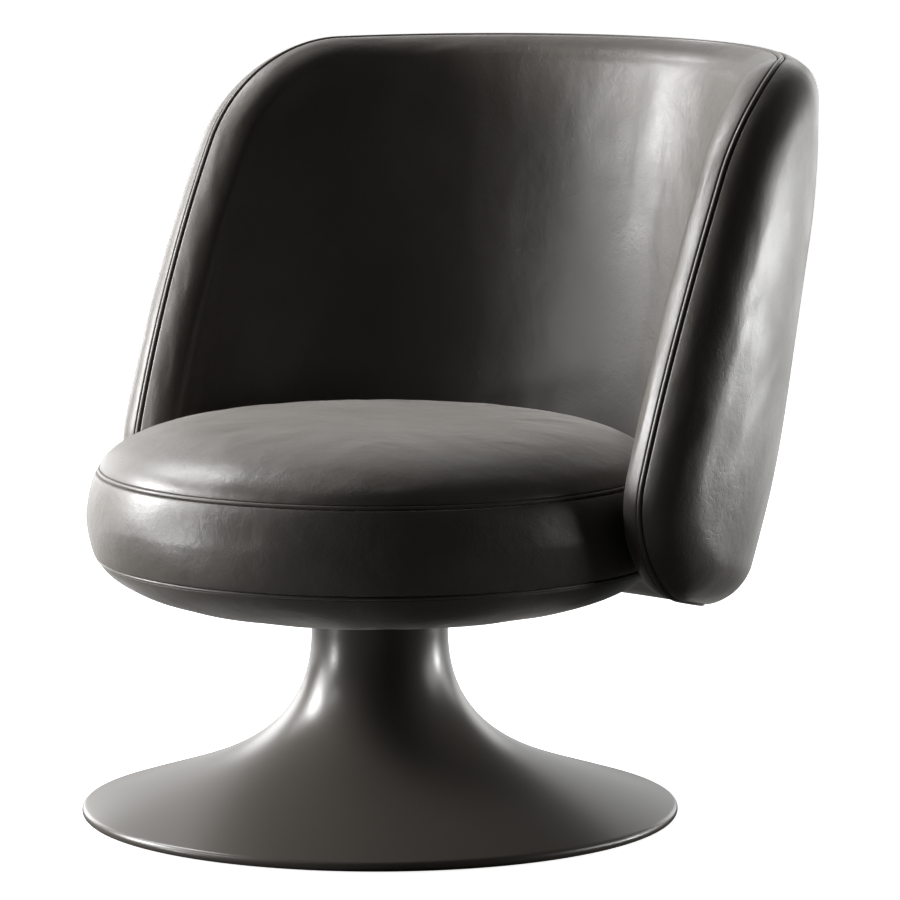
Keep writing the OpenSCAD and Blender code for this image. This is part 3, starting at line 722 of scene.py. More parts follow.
@dataclass(frozen=True)
class Wood(Finish):
    """Plywood: plies show on the edges, long grain on the faces."""

    def surface(self, g: Graph, where: bpy.types.NodeSocket) -> tuple[object, float]:
        """Fibres drawn out along X."""
        flat = g.vector("MULTIPLY", where, (0.06, 1.0, 1.0))
        return g.noise(flat, 900.0, 4.0), 0.00015

    def shade(self, g: Graph, where: bpy.types.NodeSocket, shader: bpy.types.Node) -> None:
        """Darker glue lines between plies 1.4 mm thick, and streaks of grain.

        Args:
            g: the material's graph.
            where: Object coordinates.
            shader: its Principled BSDF.
        """
        height = g.add("ShaderNodeSeparateXYZ", {0: where}).outputs[2]
        ply = g.math("PINGPONG", g.math("MULTIPLY", height, 714.0), 0.5)
        dark = g.span(ply, 0.0, 0.14, 0.62, 1.0)
        flat = g.vector("MULTIPLY", where, (0.5, 9.0, 9.0))
        streak = g.span(g.noise(flat, 26.0, 5.0), 0.3, 0.7, 0.82, 1.1)
        tone = g.math("MULTIPLY", dark, streak)
        color = g.vector("SCALE", self.color, scale=tone)
        g.tree.links.new(color, shader.inputs["Base Color"])


@dataclass(frozen=True)
class Foam(Finish):
    """Cut upholstery foam with open cells."""

    def surface(self, g: Graph, where: bpy.types.NodeSocket) -> tuple[object, float]:
        """Cells about a millimetre across."""
        return g.cells(where, 1100.0), 0.0006


@dataclass(frozen=True)
class Woven(Finish):
    """Woven strap or pressed felt: crossed threads of a given pitch."""
    threads: float = 1400.0

    def surface(self, g: Graph, where: bpy.types.NodeSocket) -> tuple[object, float]:
        """The product of two crossed sine waves.

        Args:
            g: the material's graph.
            where: Object coordinates.

        Returns:
            The height that the bump reads, and its distance in metres.
        """
        parts = g.add("ShaderNodeSeparateXYZ", {0: where}).outputs
        wave = [g.math("SINE", g.math("MULTIPLY", part, self.threads)) for part in parts[:2]]
        fuzz = g.math("MULTIPLY", g.noise(where, 1800.0, 3.0), 0.6)
        return g.math("ADD", g.math("MULTIPLY", *wave), fuzz), 0.0003


@dataclass(frozen=True)
class Palette:
    """Every finish of the chair."""
    leather: Leather = Leather("charcoal_leather", CHARCOAL, 0.45, 0.16, slot="leather")
    piping: Leather = Leather("piping_leather", CHARCOAL, 0.42, 0.08, slot="leather",
                              grain=0.0001, swell=0.2, mottle=0.3)
    paint: Finish = Finish("charcoal_paint", (0.080, 0.072, 0.063), 0.30, 0.015, slot="paint",
                           bumps=(700.0, 2.0, 0.5, 0.00001))
    felt: Woven = Woven("black_felt", (0.03, 0.03, 0.03), 0.95, 0.2, slot="felt")
    iron: Metal = Metal("grey_iron", (0.09, 0.09, 0.095), 0.6, 0.3, 1.0, "iron", work=Work.CAST)
    steel: Metal = Metal("zinc_steel", (0.55, 0.56, 0.57), 0.32, 0.1, 1.0, "steel")
    turned: Metal = Metal("turned_steel", (0.55, 0.56, 0.57), 0.22, 0.1, 1.0, "steel",
                          work=Work.TURNED)
    aluminium: Metal = Metal("turned_aluminium", (0.72, 0.73, 0.74), 0.3, 0.1, 1.0, "aluminium",
                             work=Work.TURNED)
    brass: Metal = Metal("turned_brass", (0.75, 0.58, 0.27), 0.25, 0.12, 1.0, "brass",
                         work=Work.TURNED)
    nylon: Finish = Finish("natural_nylon", (0.8, 0.78, 0.7), 0.45, 0.05, slot="nylon")
    rubber: Finish = Finish("black_rubber_seal", (0.02, 0.02, 0.02), 0.7, 0.1,
                            slot="black_rubber")
    moulded: Finish = Finish("moulded_pan", (0.05, 0.05, 0.05), 0.5, 0.1, slot="pan")
    plywood: Wood = Wood("birch_plywood", (0.55, 0.4, 0.24), 0.6, 0.1, slot="plywood")
    webbing: Woven = Woven("jute_webbing", (0.25, 0.22, 0.18), 0.85, 0.2, slot="webbing")
    foam: Foam = Foam("cream_foam", (0.8, 0.72, 0.5), 0.9, 0.08, slot="foam")


def dress(names: list[str], finish: Finish) -> None:
    """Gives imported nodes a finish.

    Args:
        names: the nodes.
        finish: their finish.
    """
    for name in names:
        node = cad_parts[name]
        made = finish.material()
        if not node.material_slots:
            node.data.materials.append(made)
        for place in node.material_slots:
            place.material = made
        LOG.info("node %s: %s", name, finish.name)


def finished(piece: bpy.types.Object, finish: Finish, body: str, *stands_for: str,
             fill: float | None = None) -> bpy.types.Object:
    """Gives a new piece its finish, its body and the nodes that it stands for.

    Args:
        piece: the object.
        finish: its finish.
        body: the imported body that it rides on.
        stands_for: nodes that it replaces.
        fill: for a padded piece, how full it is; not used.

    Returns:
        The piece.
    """
    piece.data.materials.append(finish.material())
    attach(piece, body)
    if stands_for:
        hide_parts(*stands_for)
    LOG.info("piece %s on %s: %d faces", piece.name, body, len(piece.data.polygons))
    return piece


def piped(radius: float, tail: float) -> np.ndarray:
    """Section of a piping: a circle, and a flat tail that runs into the seam along +x.

    Args:
        radius: of the cord, in millimetres.
        tail: how far the tail reaches past the cord.

    Returns:
        Points (n, 2), a closed line.
    """
    opening = 0.45
    turn = np.linspace(opening, 2 * math.pi - opening, 15)[:, None]
    half = radius * math.sin(opening)
    ends = np.array([[radius + tail, -half], [radius + tail, half]])
    return np.vstack([radius * np.hstack([np.cos(turn), np.sin(turn)]), ends])


# The foot and what is inside it

@dataclass
class Foot:
    """The spun trumpet foot with its weight, column and bearing."""
    radius: float = 320.0
    bead: float = 5.5
    lift: float = 1.0
    skirt_angle: float = 18.3
    rim_pull: float = 134.0
    neck_pull: float = 127.5
    neck_radius: float = 73.3
    neck_start: float = 199.1
    neck_top: float = 229.1
    wall: float = 4.0
    around: int = 256

    def outline(self) -> np.ndarray:
        """The shell's closed section.

        A straight neck, a cubic curve to the skirt, half a turn round the rim's bead, and the
        inner wall, which is the curve moved in by the wall's thickness.

        Returns:
            Points (n, 2) of (radius, height), a closed line.
        """
        a = math.radians(self.skirt_angle)
        centre = np.array([self.radius - self.bead, self.lift + self.bead])
        rim = centre + self.bead * np.array([math.sin(a), math.cos(a)])
        curve = bezier(np.array([self.neck_radius, self.neck_start]),
                       np.array([self.neck_radius, self.neck_start - self.neck_pull]),
                       rim + self.rim_pull * np.array([-math.cos(a), math.sin(a)]), rim, 400)
        neck = np.linspace([self.neck_radius, self.neck_top], curve[0], 30)[:-1]
        turn = math.pi / 2 - a - np.linspace(0, math.pi, 24)[1:, None]
        bead = centre + self.bead * np.hstack([np.cos(turn), np.sin(turn)])
        outer = np.vstack([spaced(np.vstack([neck, curve]), 130), bead])
        inner = beside(curve, self.wall)[::-6][1:]
        lip = np.array([[self.neck_radius - self.wall, self.neck_top]])
        return np.vstack([outer, inner, lip])

    def build(self, looks: Palette) -> None:
        """Makes the shell and dresses what it hides.

        Args:
            looks: the finishes.
        """
        shell = turned_sheet(self.outline(), self.around, closed=True).piece("foot_trumpet")
        finished(shell, looks.paint, "foot", "foot_shell")
        dress(["foot_pad"], looks.felt)
        dress(["foot_weight"], looks.iron)
        dress(["column_flange", "column_tube", "flange_bolts"], looks.steel)
        dress(["neck_ring"], looks.aluminium)
        dress(["lower_bush", "upper_bush"], looks.nylon)
        dress(["lower_race", "upper_race", "bearing_balls", "spindle"], looks.turned)
        dress(["bearing_cage"], looks.brass)
        dress(["spindle_washer", "spindle_circlip"], looks.steel)


# The seat

@dataclass
class Seat:
    """The round seat: crown, side band and underside with a welt between each pair."""
    upper_radius: float = 298.9
    lower_radius: float = 300.9
    upper_z: float = 373.3
    lower_z: float = 280.7
    crown: float = 53.4
    depth: float = 56.6
    bulge: float = 13.0
    crown_curve: tuple[float, float] = (4.65, 0.605)
    under_curve: tuple[float, float] = (3.96, 0.67)
    bulge_curve: float = 1.27
    samples: int = 900
    seam_gap: float = 0.2
    middle_z: float = 330.0
    hole: float = 76.1
    welt: float = 2.0
    leather: float = 1.8
    lip: float = 1.6
    tuck: float = 5.0
    around: int = 288
    foam_gap: float = 0.5
    foam_z: float = 349.5
    notch: float = 12.0
    clear: float = 6.0
    tail: float = 3.5
    inside: float = 277.1
    board_top: float = 279.2
    padding: Padding = field(default_factory=Padding)

    def dome(self, radius: float, depth: float, powers: tuple[float, float],
             hole: float = 0.0) -> np.ndarray:
        """Section of a dome, from its seam inwards.

        At radius r the height is the depth times 1 - (r/R)^p, all but the depth to the power q.

        Args:
            radius: R, where the seam is.
            depth: the height in the middle.
            powers: p and q.
            hole: the radius where the section ends.

        Returns:
            Points (n, 2) of (radius, height over the seam), the first one clear of the welt.
        """
        share = np.sin(np.linspace(math.pi / 2, math.asin(hole / radius), self.samples))
        rise = depth * np.maximum(1 - share ** powers[0], 0) ** powers[1]
        return np.stack([radius * share, rise], axis=1)[rise > self.welt + self.seam_gap]

    def crown_line(self) -> np.ndarray:
        """From the upper welt up to the middle."""
        return self.dome(self.upper_radius, self.crown, self.crown_curve) + [0, self.upper_z]

    def band_line(self) -> np.ndarray:
        """Between the welts: the radius swells by b sqrt(1 - |2q - 1|^p), q from 0 to 1.

        Returns:
            Points (n, 2) of (radius, height).
        """
        q = (1 - np.cos(np.linspace(0, math.pi, self.samples))) / 2
        radius = self.upper_radius + (self.lower_radius - self.upper_radius) * q
        swell = np.sqrt(np.maximum(1 - np.abs(2 * q - 1) ** self.bulge_curve, 0))
        radius = radius + self.bulge * swell
        line = np.stack([radius, self.upper_z + (self.lower_z - self.upper_z) * q], axis=1)
        edge = (self.welt + self.seam_gap) / (self.upper_z - self.lower_z)
        return line[(q > edge) & (q < 1 - edge)]

    def under_line(self) -> np.ndarray:
        """From the lower welt down to the hole."""
        line = self.dome(self.lower_radius, self.depth, self.under_curve, self.hole)
        return line * [1, -1] + [0, self.lower_z]

    def panel(self, name: str, line: np.ndarray, count: int, node: str, looks: Palette,
              fill: float, both_ends: bool = False, pole: bool = False) -> None:
        """One leather panel with its edges tucked into the seams.

        Args:
            name: the piece's name.
            line: its section from the upper or outer seam, padding on the right of travel.
            count: points of the section.
            node: the node that it replaces.
            looks: the finishes.
            fill: how full it is.
            both_ends: the far end is a seam too.
            pole: the far end is the middle of the seat.
        """
        side = 1.0 if self.turns_right(line) else -1.0
        into = np.array([-1.0, 0.0])
        line = tucked(line, self.lip, self.tuck, side, into)
        if both_ends:
            line = tucked(line[::-1], self.lip, self.tuck, -side, into)[::-1]
        ends = line[-SEAM_ROW - 1:] if both_ends else line[-1:]
        middle = spaced(line[SEAM_ROW:len(line) - len(ends) + 1], count,
                        1.0 if both_ends else 1.35)
        line = np.vstack([line[:SEAM_ROW], middle[:-1], ends])
        if pole:
            line[-1] = [0.0, line[-2, 1]]
        sheet = turned_sheet(line, self.around, pole=pole, pull=0.0, level=self.middle_z)
        piece = self.padding.settle(sheet, name, both_ends).piece(name)
        leather_wall(piece, self.leather)
        finished(piece, looks.leather, "seat", node, fill=fill)

    def turns_right(self, line: np.ndarray) -> bool:
        """Finds the side of a line that the padding is on.

        Args:
            line: points (n, 2) of (radius, height).

        Returns:
            True if the middle of the seat lies right of the line's travel.
        """
        k = len(line) // 8
        way = line[k + 1] - line[k]
        inside = np.array([0.0, self.middle_z]) - line[k]
        return way[1] * inside[0] - way[0] * inside[1] > 0

    def foam(self, looks: Palette) -> None:
        """The foam slab under the crown and the foam strip behind the band.

        Args:
            looks: the finishes.
        """
        deep = self.leather + self.foam_gap
        line = self.crown_line()
        crown = beside(spaced(line[line[:, 1] > self.upper_z + self.clear], 60), -deep)
        crown[-1, 0] = 0.0
        side = beside(self.band_line(), deep)
        above = spaced(side[(side[:, 1] > self.foam_z)
                            & (side[:, 1] < self.upper_z - self.clear)], 14)
        notch = [self.upper_radius - self.welt - self.notch, self.upper_z]
        slab = np.vstack([[0.0, self.foam_z], [self.inside, self.foam_z], above[::-1], notch,
                          crown])
        sheet = turned_sheet(slab, self.around // 2, pole=True)
        sheet.first = sheet.last
        piece = sheet.piece("seat_cushion_foam")
        finished(piece, looks.foam, "seat", "seat_foam")
        below = spaced(side[(side[:, 1] < self.foam_z - 0.3)
                            & (side[:, 1] > self.lower_z + self.clear)], 24)
        foot = self.lower_radius - self.welt - self.notch
        strip = np.vstack([[self.inside, below[0, 1]], below, [foot, self.lower_z],
                           [foot, self.board_top], [self.inside, self.board_top]])
        piece = turned_sheet(strip, self.around // 2, closed=True).piece("seat_band_foam")
        finished(piece, looks.foam, "seat", "band_foam")

    def piping(self, name: str, radius: float, height: float, node: str, looks: Palette) -> None:
        """A welt: a cord with its seam allowance behind it, carried round the seat.

        Args:
            name: the piece's name.
            radius: of its seam.
            height: of its seam.
            node: the node that it replaces.
            looks: the finishes.
        """
        line = piped(self.welt, self.tail) * [-1.0, 1.0] + [radius, height]
        piece = turned_sheet(line, 2 * self.around, closed=True).piece(name)
        finished(piece, looks.piping, "seat", node)

    def build(self, looks: Palette) -> None:
        """Makes the covers and welts, and dresses the carcass.

        Args:
            looks: the finishes.
        """
        self.panel("seat_crown_leather", self.crown_line(), 60, "seat_top_cover", looks, 0.8,
                   pole=True)
        self.panel("seat_band_leather", self.band_line(), 30, "side_band", looks, 0.8,
                   both_ends=True)
        self.panel("seat_underside_leather", self.under_line(), 46, "under_cover", looks, 0.7)
        self.piping("seat_upper_piping", self.upper_radius, self.upper_z, "upper_welt", looks)
        self.piping("seat_lower_piping", self.lower_radius, self.lower_z, "lower_welt", looks)
        self.foam(looks)
        dress(["mounting_plate", "seat_bolts", "seat_tee_nuts", "back_bolts"], looks.steel)
        dress(["seat_board", "seat_ring"], looks.plywood)
        dress(["seat_webbing"], looks.webbing)
        dress(["under_pan"], looks.moulded)
        dress(["neck_seal", "back_spacers"], looks.rubber)
        dress(["back_inserts"], looks.brass)


# The back

@dataclass
class Face:
    """One side of the back: how it rolls from the seam and swells to its middle line."""
    pad: float
    roll: float
    crown: float
    sign: float


@dataclass
class Back:
    """The wrap-round back: a seam all round, a padded face on each side and a welt between."""
    seam_radius: float = 352.2
    lean: float = 10.9
    flare: float = 1.3
    wrap_top: float = 76.5
    wrap_low: float = 94.5
    base_z: float = 280.7
    top: float = 523.4
    low: float = 1.4
    top_slope: float = 1.2
    low_slope: float = 12.0
    top_corner: float = 138.0
    low_corner: float = 115.0
    bow: float = 22.5
    bow_start: float = 0.35
    bow_span: float = 0.6
    welt: float = 3.0
    sink: float = 1.6
    seam_gap: float = 0.3
    tail: float = 3.5
    leather: float = 1.8
    lip: float = 2.6
    tuck: float = 6.0
    middle_share: float = 0.8
    reach: float = 150.0
    foam_gap: float = 0.5
    frame_inset: float = 24.0
    frame_half: float = 6.0
    frame_gap: float = 0.3
    inner: Face = field(default_factory=lambda: Face(38.5, 30.0, 0.0, -1.0))
    outer: Face = field(default_factory=lambda: Face(47.8, 54.0, 10.5, 1.0))
    roll_rows: int = 30
    crown_rows: int = 26
    knee_rows: int = 5
    knee_passes: int = 6
    edge_steps: int = 56
    corner_steps: int = 26
    front_steps: int = 52
    padding: Padding = field(default_factory=Padding)

    def fillet(self, a: np.ndarray, corner: np.ndarray, b: np.ndarray,
               radius: float) -> np.ndarray:
        """A circular corner between the line to a and the line to b.

        Args:
            a: a point on the one line.
            corner: where the lines meet.
            b: a point on the other line.
            radius: of the corner.

        Returns:
            Points (n, 2), from the one line to the other.
        """
        u, v = unit_rows(a - corner), unit_rows(b - corner)
        half = math.acos(float(u @ v)) / 2
        centre = corner + unit_rows(u + v) * radius / math.sin(half)
        p, q = (corner + w * radius / math.tan(half) - centre for w in (u, v))
        start = math.atan2(p[1], p[0])
        sweep = (math.atan2(q[1], q[0]) - start + math.pi) % (2 * math.pi) - math.pi
        turn = start + sweep * np.linspace(0, 1, self.corner_steps + 1)[:, None]
        return centre + radius * np.hstack([np.cos(turn), np.sin(turn)])

    def half_seam(self) -> np.ndarray:
        """Right half of the seam drawn flat, as (arc length at the seam radius, height).

        Straight edges with rounded corners; the top and the lower edge bend to level at the
        middle, and the front edge bows forwards by 4h(1 - h), most at half height h.

        Returns:
            Points (n, 2), from the middle of the top to the middle of the lower edge.
        """
        arc = self.seam_radius * math.pi / 180
        t = np.array([arc * self.wrap_top, self.base_z + self.top])
        b = np.array([arc * self.wrap_low, self.base_z - self.low])
        rise, fall = (math.tan(math.radians(s)) for s in (self.top_slope, self.low_slope))
        top_mid, low_mid = np.array([0, t[1] + t[0] * rise]), np.array([0, b[1] - b[0] * fall])
        upper, lower = (self.fillet(top_mid, t, b, self.top_corner),
                        self.fillet(t, b, low_mid, self.low_corner))
        k = np.arange(self.edge_steps)[:, None] / self.edge_steps
        along = top_mid + (upper[0] - top_mid) * k
        along[:, 1] -= rise * upper[0, 0] * (1 - k[:, 0]) ** 2 / 2
        back = lower[-1] + (low_mid - lower[-1]) * (k + 1 / self.edge_steps)
        back[:, 1] += fall * lower[-1, 0] * (k[:, 0] + 1 / self.edge_steps) ** 2 / 2
        f = np.arange(1, self.front_steps)[:, None] / self.front_steps
        seam = np.vstack([along, upper, upper[-1] + (lower[0] - upper[-1]) * f, lower, back])
        h = np.clip((seam[:, 1] - b[1]) / (t[1] - b[1]), 0, 1)
        c = np.clip((seam[:, 0] / t[0] - self.bow_start) / self.bow_span, 0, 1)
        seam[:, 0] += self.bow * 4 * h * (1 - h) * c * c * (3 - 2 * c)
        return seam

    def seam(self) -> tuple[np.ndarray, np.ndarray, np.ndarray]:
        """Mirrors the half seam and finds each point's partner across.

        Returns:
            The seam, the unit direction into the back, and the number of each point's partner.
        """
        half = self.half_seam()
        count = 2 * len(half) - 2
        loop = np.vstack([half, half[-2:0:-1] * [-1, 1]])
        way = unit_rows(np.roll(loop, -1, axis=0) - np.roll(loop, 1, axis=0))
        inward = np.stack([way[:, 1], -way[:, 0]], axis=1)
        partner = (len(half) - 1 - np.arange(count)) % count
        return loop, inward, partner

    def bend(self, flat: np.ndarray, height: np.ndarray) -> np.ndarray:
        """Bends the flat drawing round the leaning, flaring back.

        The arc length over the seam radius is the angle; the radius grows with the flare, and
        the centre moves back with the lean.

        Args:
            flat: arc length and height of each point.
            height: height off the seam's surface.

        Returns:
            Points in millimetres.
        """
        angle = flat[..., 0] / self.seam_radius
        rise = flat[..., 1] - self.base_z
        radius = self.seam_radius + math.tan(math.radians(self.flare)) * rise + height
        return np.stack([radius * np.sin(angle),
                         math.tan(math.radians(self.lean)) * rise + radius * np.cos(angle),
                         flat[..., 1]], axis=-1)

    def rings(self, line: np.ndarray) -> np.ndarray:
        """Rings round the back, one for each station.

        A station is (distance in from the seam, share of the way on to the middle line, height
        off the seam's surface, swell added to it over the reach past the roll, or over the whole
        way where that is shorter).

        Args:
            line: stations (n, 4).

        Returns:
            Points (n, count, 3) in millimetres.
        """
        loop, inward, partner = self.seam()
        d, share, height, swell = (line[:, k][:, None, None] for k in range(4))
        edge = loop + inward * d
        middle = (edge + edge[:, partner]) / 2 * [self.middle_share, 1.0]
        width = np.linalg.norm(middle - edge, axis=2, keepdims=True)
        reach = np.clip(width, 1.0, self.reach)
        rise = 1 - (1 - np.minimum(width * share / reach, 1)) ** 2
        return self.bend(edge + (middle - edge) * share, (height + swell * rise)[..., 0])

    def stations(self, face: Face, depth: float = 0.0, groove: bool = True) -> np.ndarray:
        """One face from the seam: a tucked edge, a quarter-ellipse roll and the crown.

        Args:
            face: which side.
            depth: how far inside the leather's surface, in millimetres.
            groove: tucks the edge into the seam.

        Returns:
            Stations for rings().
        """
        start = math.asin((self.welt + self.seam_gap + 2 * depth) / face.pad)
        t = np.linspace(start, math.pi / 2, 240)
        roll = np.stack([face.roll * (1 - np.cos(t)), face.pad * np.sin(t)], axis=1)
        if depth:
            way = unit_rows(np.stack([face.roll * np.sin(t), face.pad * np.cos(t)], axis=1))
            roll += depth * np.stack([way[:, 1], -way[:, 0]], axis=1)
        if groove:
            roll = tucked(roll, self.lip, self.tuck, 1.0)
            roll = np.vstack([roll[:SEAM_ROW], spaced(roll[SEAM_ROW:], self.roll_rows)])
        else:
            roll = spaced(roll, self.roll_rows)
        share = np.linspace(0, 1, self.crown_rows)[1:]
        line = np.zeros((len(roll) + len(share), 4))
        line[:len(roll), [0, 2]] = roll
        line[len(roll):, 0] = face.roll
        line[len(roll):, 1] = share
        line[len(roll):, 2] = face.pad - depth
        line[len(roll):, 3] = face.crown
        line[:, 2:] *= face.sign
        return line

    def eased(self, rings: np.ndarray, line: np.ndarray) -> np.ndarray:
        """Rounds the slight knee where the roll of a face meets its crown.

        Each ring near the knee becomes the average of itself, twice, and its two neighbours.

        Args:
            rings: the rings of a face.
            line: its stations.

        Returns:
            The same rings.
        """
        knee = int(np.argmax(line[:, 1] > 0)) - 1
        low, high = knee - self.knee_rows, knee + self.knee_rows + 1
        for _ in range(self.knee_passes):
            rings[low:high] = (rings[low - 1:high - 1] + 2 * rings[low:high]
                               + rings[low + 1:high + 1]) / 4
        return rings

    def shared(self) -> np.ndarray:
        """On the middle line, each column shares its vertex with its partner across."""
        partner = self.seam()[2]
        return np.minimum(np.arange(len(partner)), partner)

    def skin(self, name: str, face: Face, node: str, looks: Palette, fill: float) -> None:
        """One leather face, closed along its middle line.

        Args:
            name: the piece's name.
            face: which side.
            node: the node that it replaces.
            looks: the finishes.
            fill: how full it is.
        """
        line = self.stations(face)
        rings = self.eased(self.rings(line), line)
        sheet = Sheet(rings, last=self.shared(), pull=0.5 if face.sign > 0 else 1.6)
        piece = self.padding.settle(sheet, name).piece(name)
        leather_wall(piece, self.leather)
        finished(piece, looks.leather, "seat", node, fill=fill)

    def foam(self, name: str, face: Face, node: str, looks: Palette) -> None:
        """The foam under one face: it fills the leather and lies on the plywood frame.

        Args:
            name: the piece's name.
            face: which side.
            node: the node that it replaces.
            looks: the finishes.
        """
        front = self.stations(face, self.leather + self.foam_gap, groove=False)
        front_rings = self.eased(self.rings(front), front)
        gap = self.frame_gap
        edge, half = self.frame_inset - gap, self.frame_half + gap
        rear = np.array([[front[0, 0], 0, gap, 0], [edge, 0, gap, 0], [edge, 0, half, 0]])
        share = np.linspace(0, 1, 14)[1:, None]
        flat = np.hstack([share * 0 + edge, share, share * 0 + half, share * 0])
        rear = np.vstack([rear, flat])
        rear[:, 2] *= face.sign
        rings = np.vstack([self.rings(rear)[::-1], front_rings])
        piece = Sheet(rings, first=self.shared(), last=self.shared()).piece(name)
        finished(piece, looks.foam, "seat", node)

    def piping(self, looks: Palette) -> None:
        """The welt: a cord carried along the seam, its middle sunk below the edge.

        Args:
            looks: the finishes.
        """
        section = piped(self.welt, self.tail)
        line = np.zeros((len(section), 4))
        line[:, [0, 2]] = section + [self.sink, 0.0]
        piece = Sheet(self.rings(line), closed=True).piece("back_piping")
        finished(piece, looks.piping, "seat", "back_welt")

    def build(self, looks: Palette) -> None:
        """Makes both faces and the welt, and dresses what they hide.

        Args:
            looks: the finishes.
        """
        self.skin("back_inner_leather", self.inner, "back_inner_cover", looks, 0.8)
        self.skin("back_outer_leather", self.outer, "back_outer_cover", looks, 0.85)
        self.piping(looks)
        self.foam("back_inner_padding", self.inner, "back_inner_foam", looks)
        self.foam("back_outer_padding", self.outer, "back_outer_foam", looks)
        dress(["back_frame"], looks.plywood)


# The studio

@dataclass(frozen=True)
class Lamp:
    """One soft round lamp on a sphere round the chair, hidden from the camera.

    Attributes:
        name: what it is called.
        side: degrees from the camera, anticlockwise as seen from above.
        rise: degrees above the horizon.
        width: its diameter in metres.
        power: in watts.
    """
    name: str
    side: float
    rise: float
    width: float
    power: float

    def light(self, camera_azimuth: float, aim: Vector, reach: float) -> None:
        """Hangs the lamp.

        Args:
            camera_azimuth: where the camera stands.
            aim: the point that it faces.
            reach: its distance from there.
        """
        data = bpy.data.lights.new(self.name, "AREA")
        data.shape = "DISK"
        data.size = self.width
        data.energy = self.power
        a, e = math.radians(camera_azimuth + self.side), math.radians(self.rise)
        out = Vector((math.sin(a) * math.cos(e), -math.cos(a) * math.cos(e), math.sin(e)))
        lamp = bpy.data.objects.new(self.name, data)
        lamp.location = aim + out * reach
        lamp.rotation_mode = "QUATERNION"
        lamp.rotation_quaternion = (-out).to_track_quat("-Z", "Y")
        lamp.visible_camera = False
        bpy.context.scene.collection.objects.link(lamp)


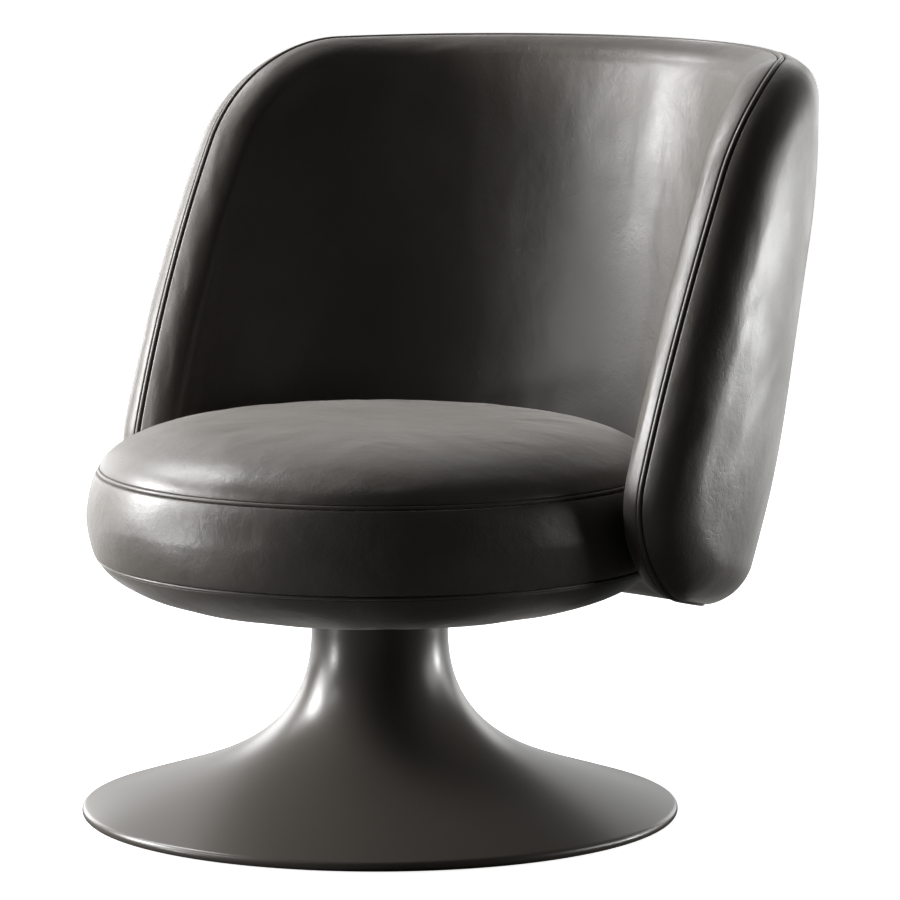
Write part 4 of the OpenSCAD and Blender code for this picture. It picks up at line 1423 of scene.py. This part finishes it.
@dataclass
class Studio:
    """Camera at the photograph's view, a pale floor, a white backdrop and soft lamps."""
    camera_azimuth: float = 40.0
    camera_pitch: float = 7.752
    camera_distance: float = 6.0
    focal_pixels: float = 5624.0
    target_right: float = 0.0752
    target_height: float = 0.3926
    backdrop: float = 1.0
    ambient: float = 0.014
    floor_rings: tuple[float, ...] = (0.0005, 0.6, 1.2, 2.4, 6.0, 14.0, 30.0)
    floor_pale: float = 0.8
    floor_glow: float = 0.92
    floor_dim: float = 0.10
    lamp_aim: float = 0.45
    lamp_reach: float = 3.2
    lamps: tuple[Lamp, ...] = (
        Lamp("key", 255, 20, 0.9, 98.0),
        Lamp("key_low", 255, 8, 0.9, 34.0),
        Lamp("key_wide", 240, 30, 1.3, 26.0),
        Lamp("key_high", 225, 44, 0.9, 46.0),
        Lamp("left", 270, 5, 1.3, 19.0),
        Lamp("front_left", 285, 26, 1.1, 21.0),
        Lamp("right", 90, 5, 1.3, 24.0),
        Lamp("right_behind", 120, 5, 1.3, 15.0),
        Lamp("rim_right", 150, 5, 1.3, 8.0),
        Lamp("rim_left", 210, 5, 1.3, 19.0),
        Lamp("neck_right", 107, -5, 0.25, 30.0),
        Lamp("neck_left", 280, -5, 0.25, 26.0),
    )

    def stand_camera(self) -> None:
        """The camera looks along its own azimuth, pitched down, as the photograph's does."""
        a, e = math.radians(self.camera_azimuth), math.radians(self.camera_pitch)
        right = Vector((math.cos(a), math.sin(a), 0.0))
        away = Vector((-math.sin(a), math.cos(a), 0.0))
        look = away * math.cos(e) - Vector((0, 0, 1)) * math.sin(e)
        up = right.cross(look)
        target = right * self.target_right + Vector((0, 0, self.target_height))
        data = bpy.data.cameras.new("photo_camera")
        data.sensor_width = SENSOR
        data.lens = SENSOR * self.focal_pixels / PHOTO_PIXELS
        data.clip_start, data.clip_end = 0.1, 100.0
        camera = bpy.data.objects.new("photo_camera", data)
        place = Matrix.Translation(target - look * self.camera_distance)
        camera.matrix_world = place @ Matrix((right, up, -look)).transposed().to_4x4()
        bpy.context.scene.collection.objects.link(camera)
        bpy.context.scene.camera = camera

    def behind(self, g: Graph, where: bpy.types.NodeSocket) -> bpy.types.NodeSocket:
        """How far a place or a direction lies away from the camera, past the chair."""
        a = math.radians(self.camera_azimuth)
        return g.vector("DOT_PRODUCT", where, (-math.sin(a), math.cos(a), 0.0))

    def rays(self, g: Graph) -> tuple[bpy.types.NodeSocket, bpy.types.NodeSocket]:
        """Whether a ray is the camera's own, and whether it is mirrored or transmitted."""
        path = g.add("ShaderNodeLightPath").outputs
        return path["Is Camera Ray"], g.math("MAXIMUM", path["Is Glossy Ray"],
                                             path["Is Transmission Ray"])

    def paint_world(self) -> None:
        """A white backdrop behind the chair, and a dark room in front of it.

        The camera, reflections and transmission see them; all other light is dim.
        """
        world = bpy.data.worlds.new("studio")
        g = fresh(world)
        direct, mirrored = self.rays(g)
        ray = g.add("ShaderNodeTexCoord").outputs["Generated"]
        shown = g.span(self.behind(g, ray), 0.6, 0.95, self.ambient, self.backdrop)
        level = g.math("MULTIPLY_ADD", mirrored, g.math("SUBTRACT", shown, self.ambient),
                       self.ambient)
        level = g.math("MAXIMUM", level, g.math("MULTIPLY", direct, self.backdrop))
        light = g.add("ShaderNodeBackground", {"Color": rgba((1, 1, 1)), "Strength": level})
        g.add("ShaderNodeOutputWorld", {"Surface": light.outputs[0]})
        bpy.context.scene.world = world

    def lay_floor(self) -> None:
        """A pale disc whose rim fades into the backdrop.

        The camera sees it white where no shadow falls. Mirrored, it is white behind the chair
        only. To all other light it is dim.
        """
        turn = np.arange(96) * 2 * math.pi / 96
        rings = np.array(self.floor_rings) / MM
        points = np.stack([rings[:, None] * np.cos(turn), rings[:, None] * np.sin(turn),
                           np.zeros((len(rings), len(turn)))], axis=-1)
        floor = Sheet(points, pull=1.0, level=-1e5).piece("studio_floor")
        made = bpy.data.materials.new("pale_floor")
        g = fresh(made)
        direct, mirrored = self.rays(g)
        place = g.add("ShaderNodeTexCoord").outputs["Object"]
        mirrored = g.math("MULTIPLY", mirrored, g.span(self.behind(g, place), 0.4, 1.6))
        seen = g.math("MAXIMUM", direct, mirrored)
        pale = g.add("ShaderNodeBsdfDiffuse", {"Color": rgba((self.floor_pale,) * 3)})
        bright = g.span(g.vector("LENGTH", place), 1.0, 2.5, self.floor_glow, self.backdrop)
        glow = g.add("ShaderNodeEmission", {"Color": rgba((1, 1, 1)), "Strength": bright})
        shown = g.add("ShaderNodeAddShader", {0: pale.outputs[0], 1: glow.outputs[0]})
        dim = g.add("ShaderNodeBsdfDiffuse", {"Color": rgba((self.floor_dim,) * 3)})
        mix = g.add("ShaderNodeMixShader", {0: seen, 1: dim.outputs[0], 2: shown.outputs[0]})
        g.add("ShaderNodeOutputMaterial", {"Surface": mix.outputs[0]})
        floor.data.materials.append(made)

    def build(self) -> None:
        """Sets the whole studio."""
        self.stand_camera()
        self.paint_world()
        self.lay_floor()
        for lamp in self.lamps:
            lamp.light(self.camera_azimuth, Vector((0, 0, self.lamp_aim)), self.lamp_reach)
        bpy.context.scene.view_settings.view_transform = "Standard"


def main() -> None:
    """Builds the studio and the chair."""
    logging.basicConfig(level=logging.INFO, format="%(name)s: %(message)s")
    looks = Palette()
    Studio().build()
    Foot().build(looks)
    Seat().build(looks)
    Back().build(looks)


if __name__ == "__main__":
    main()
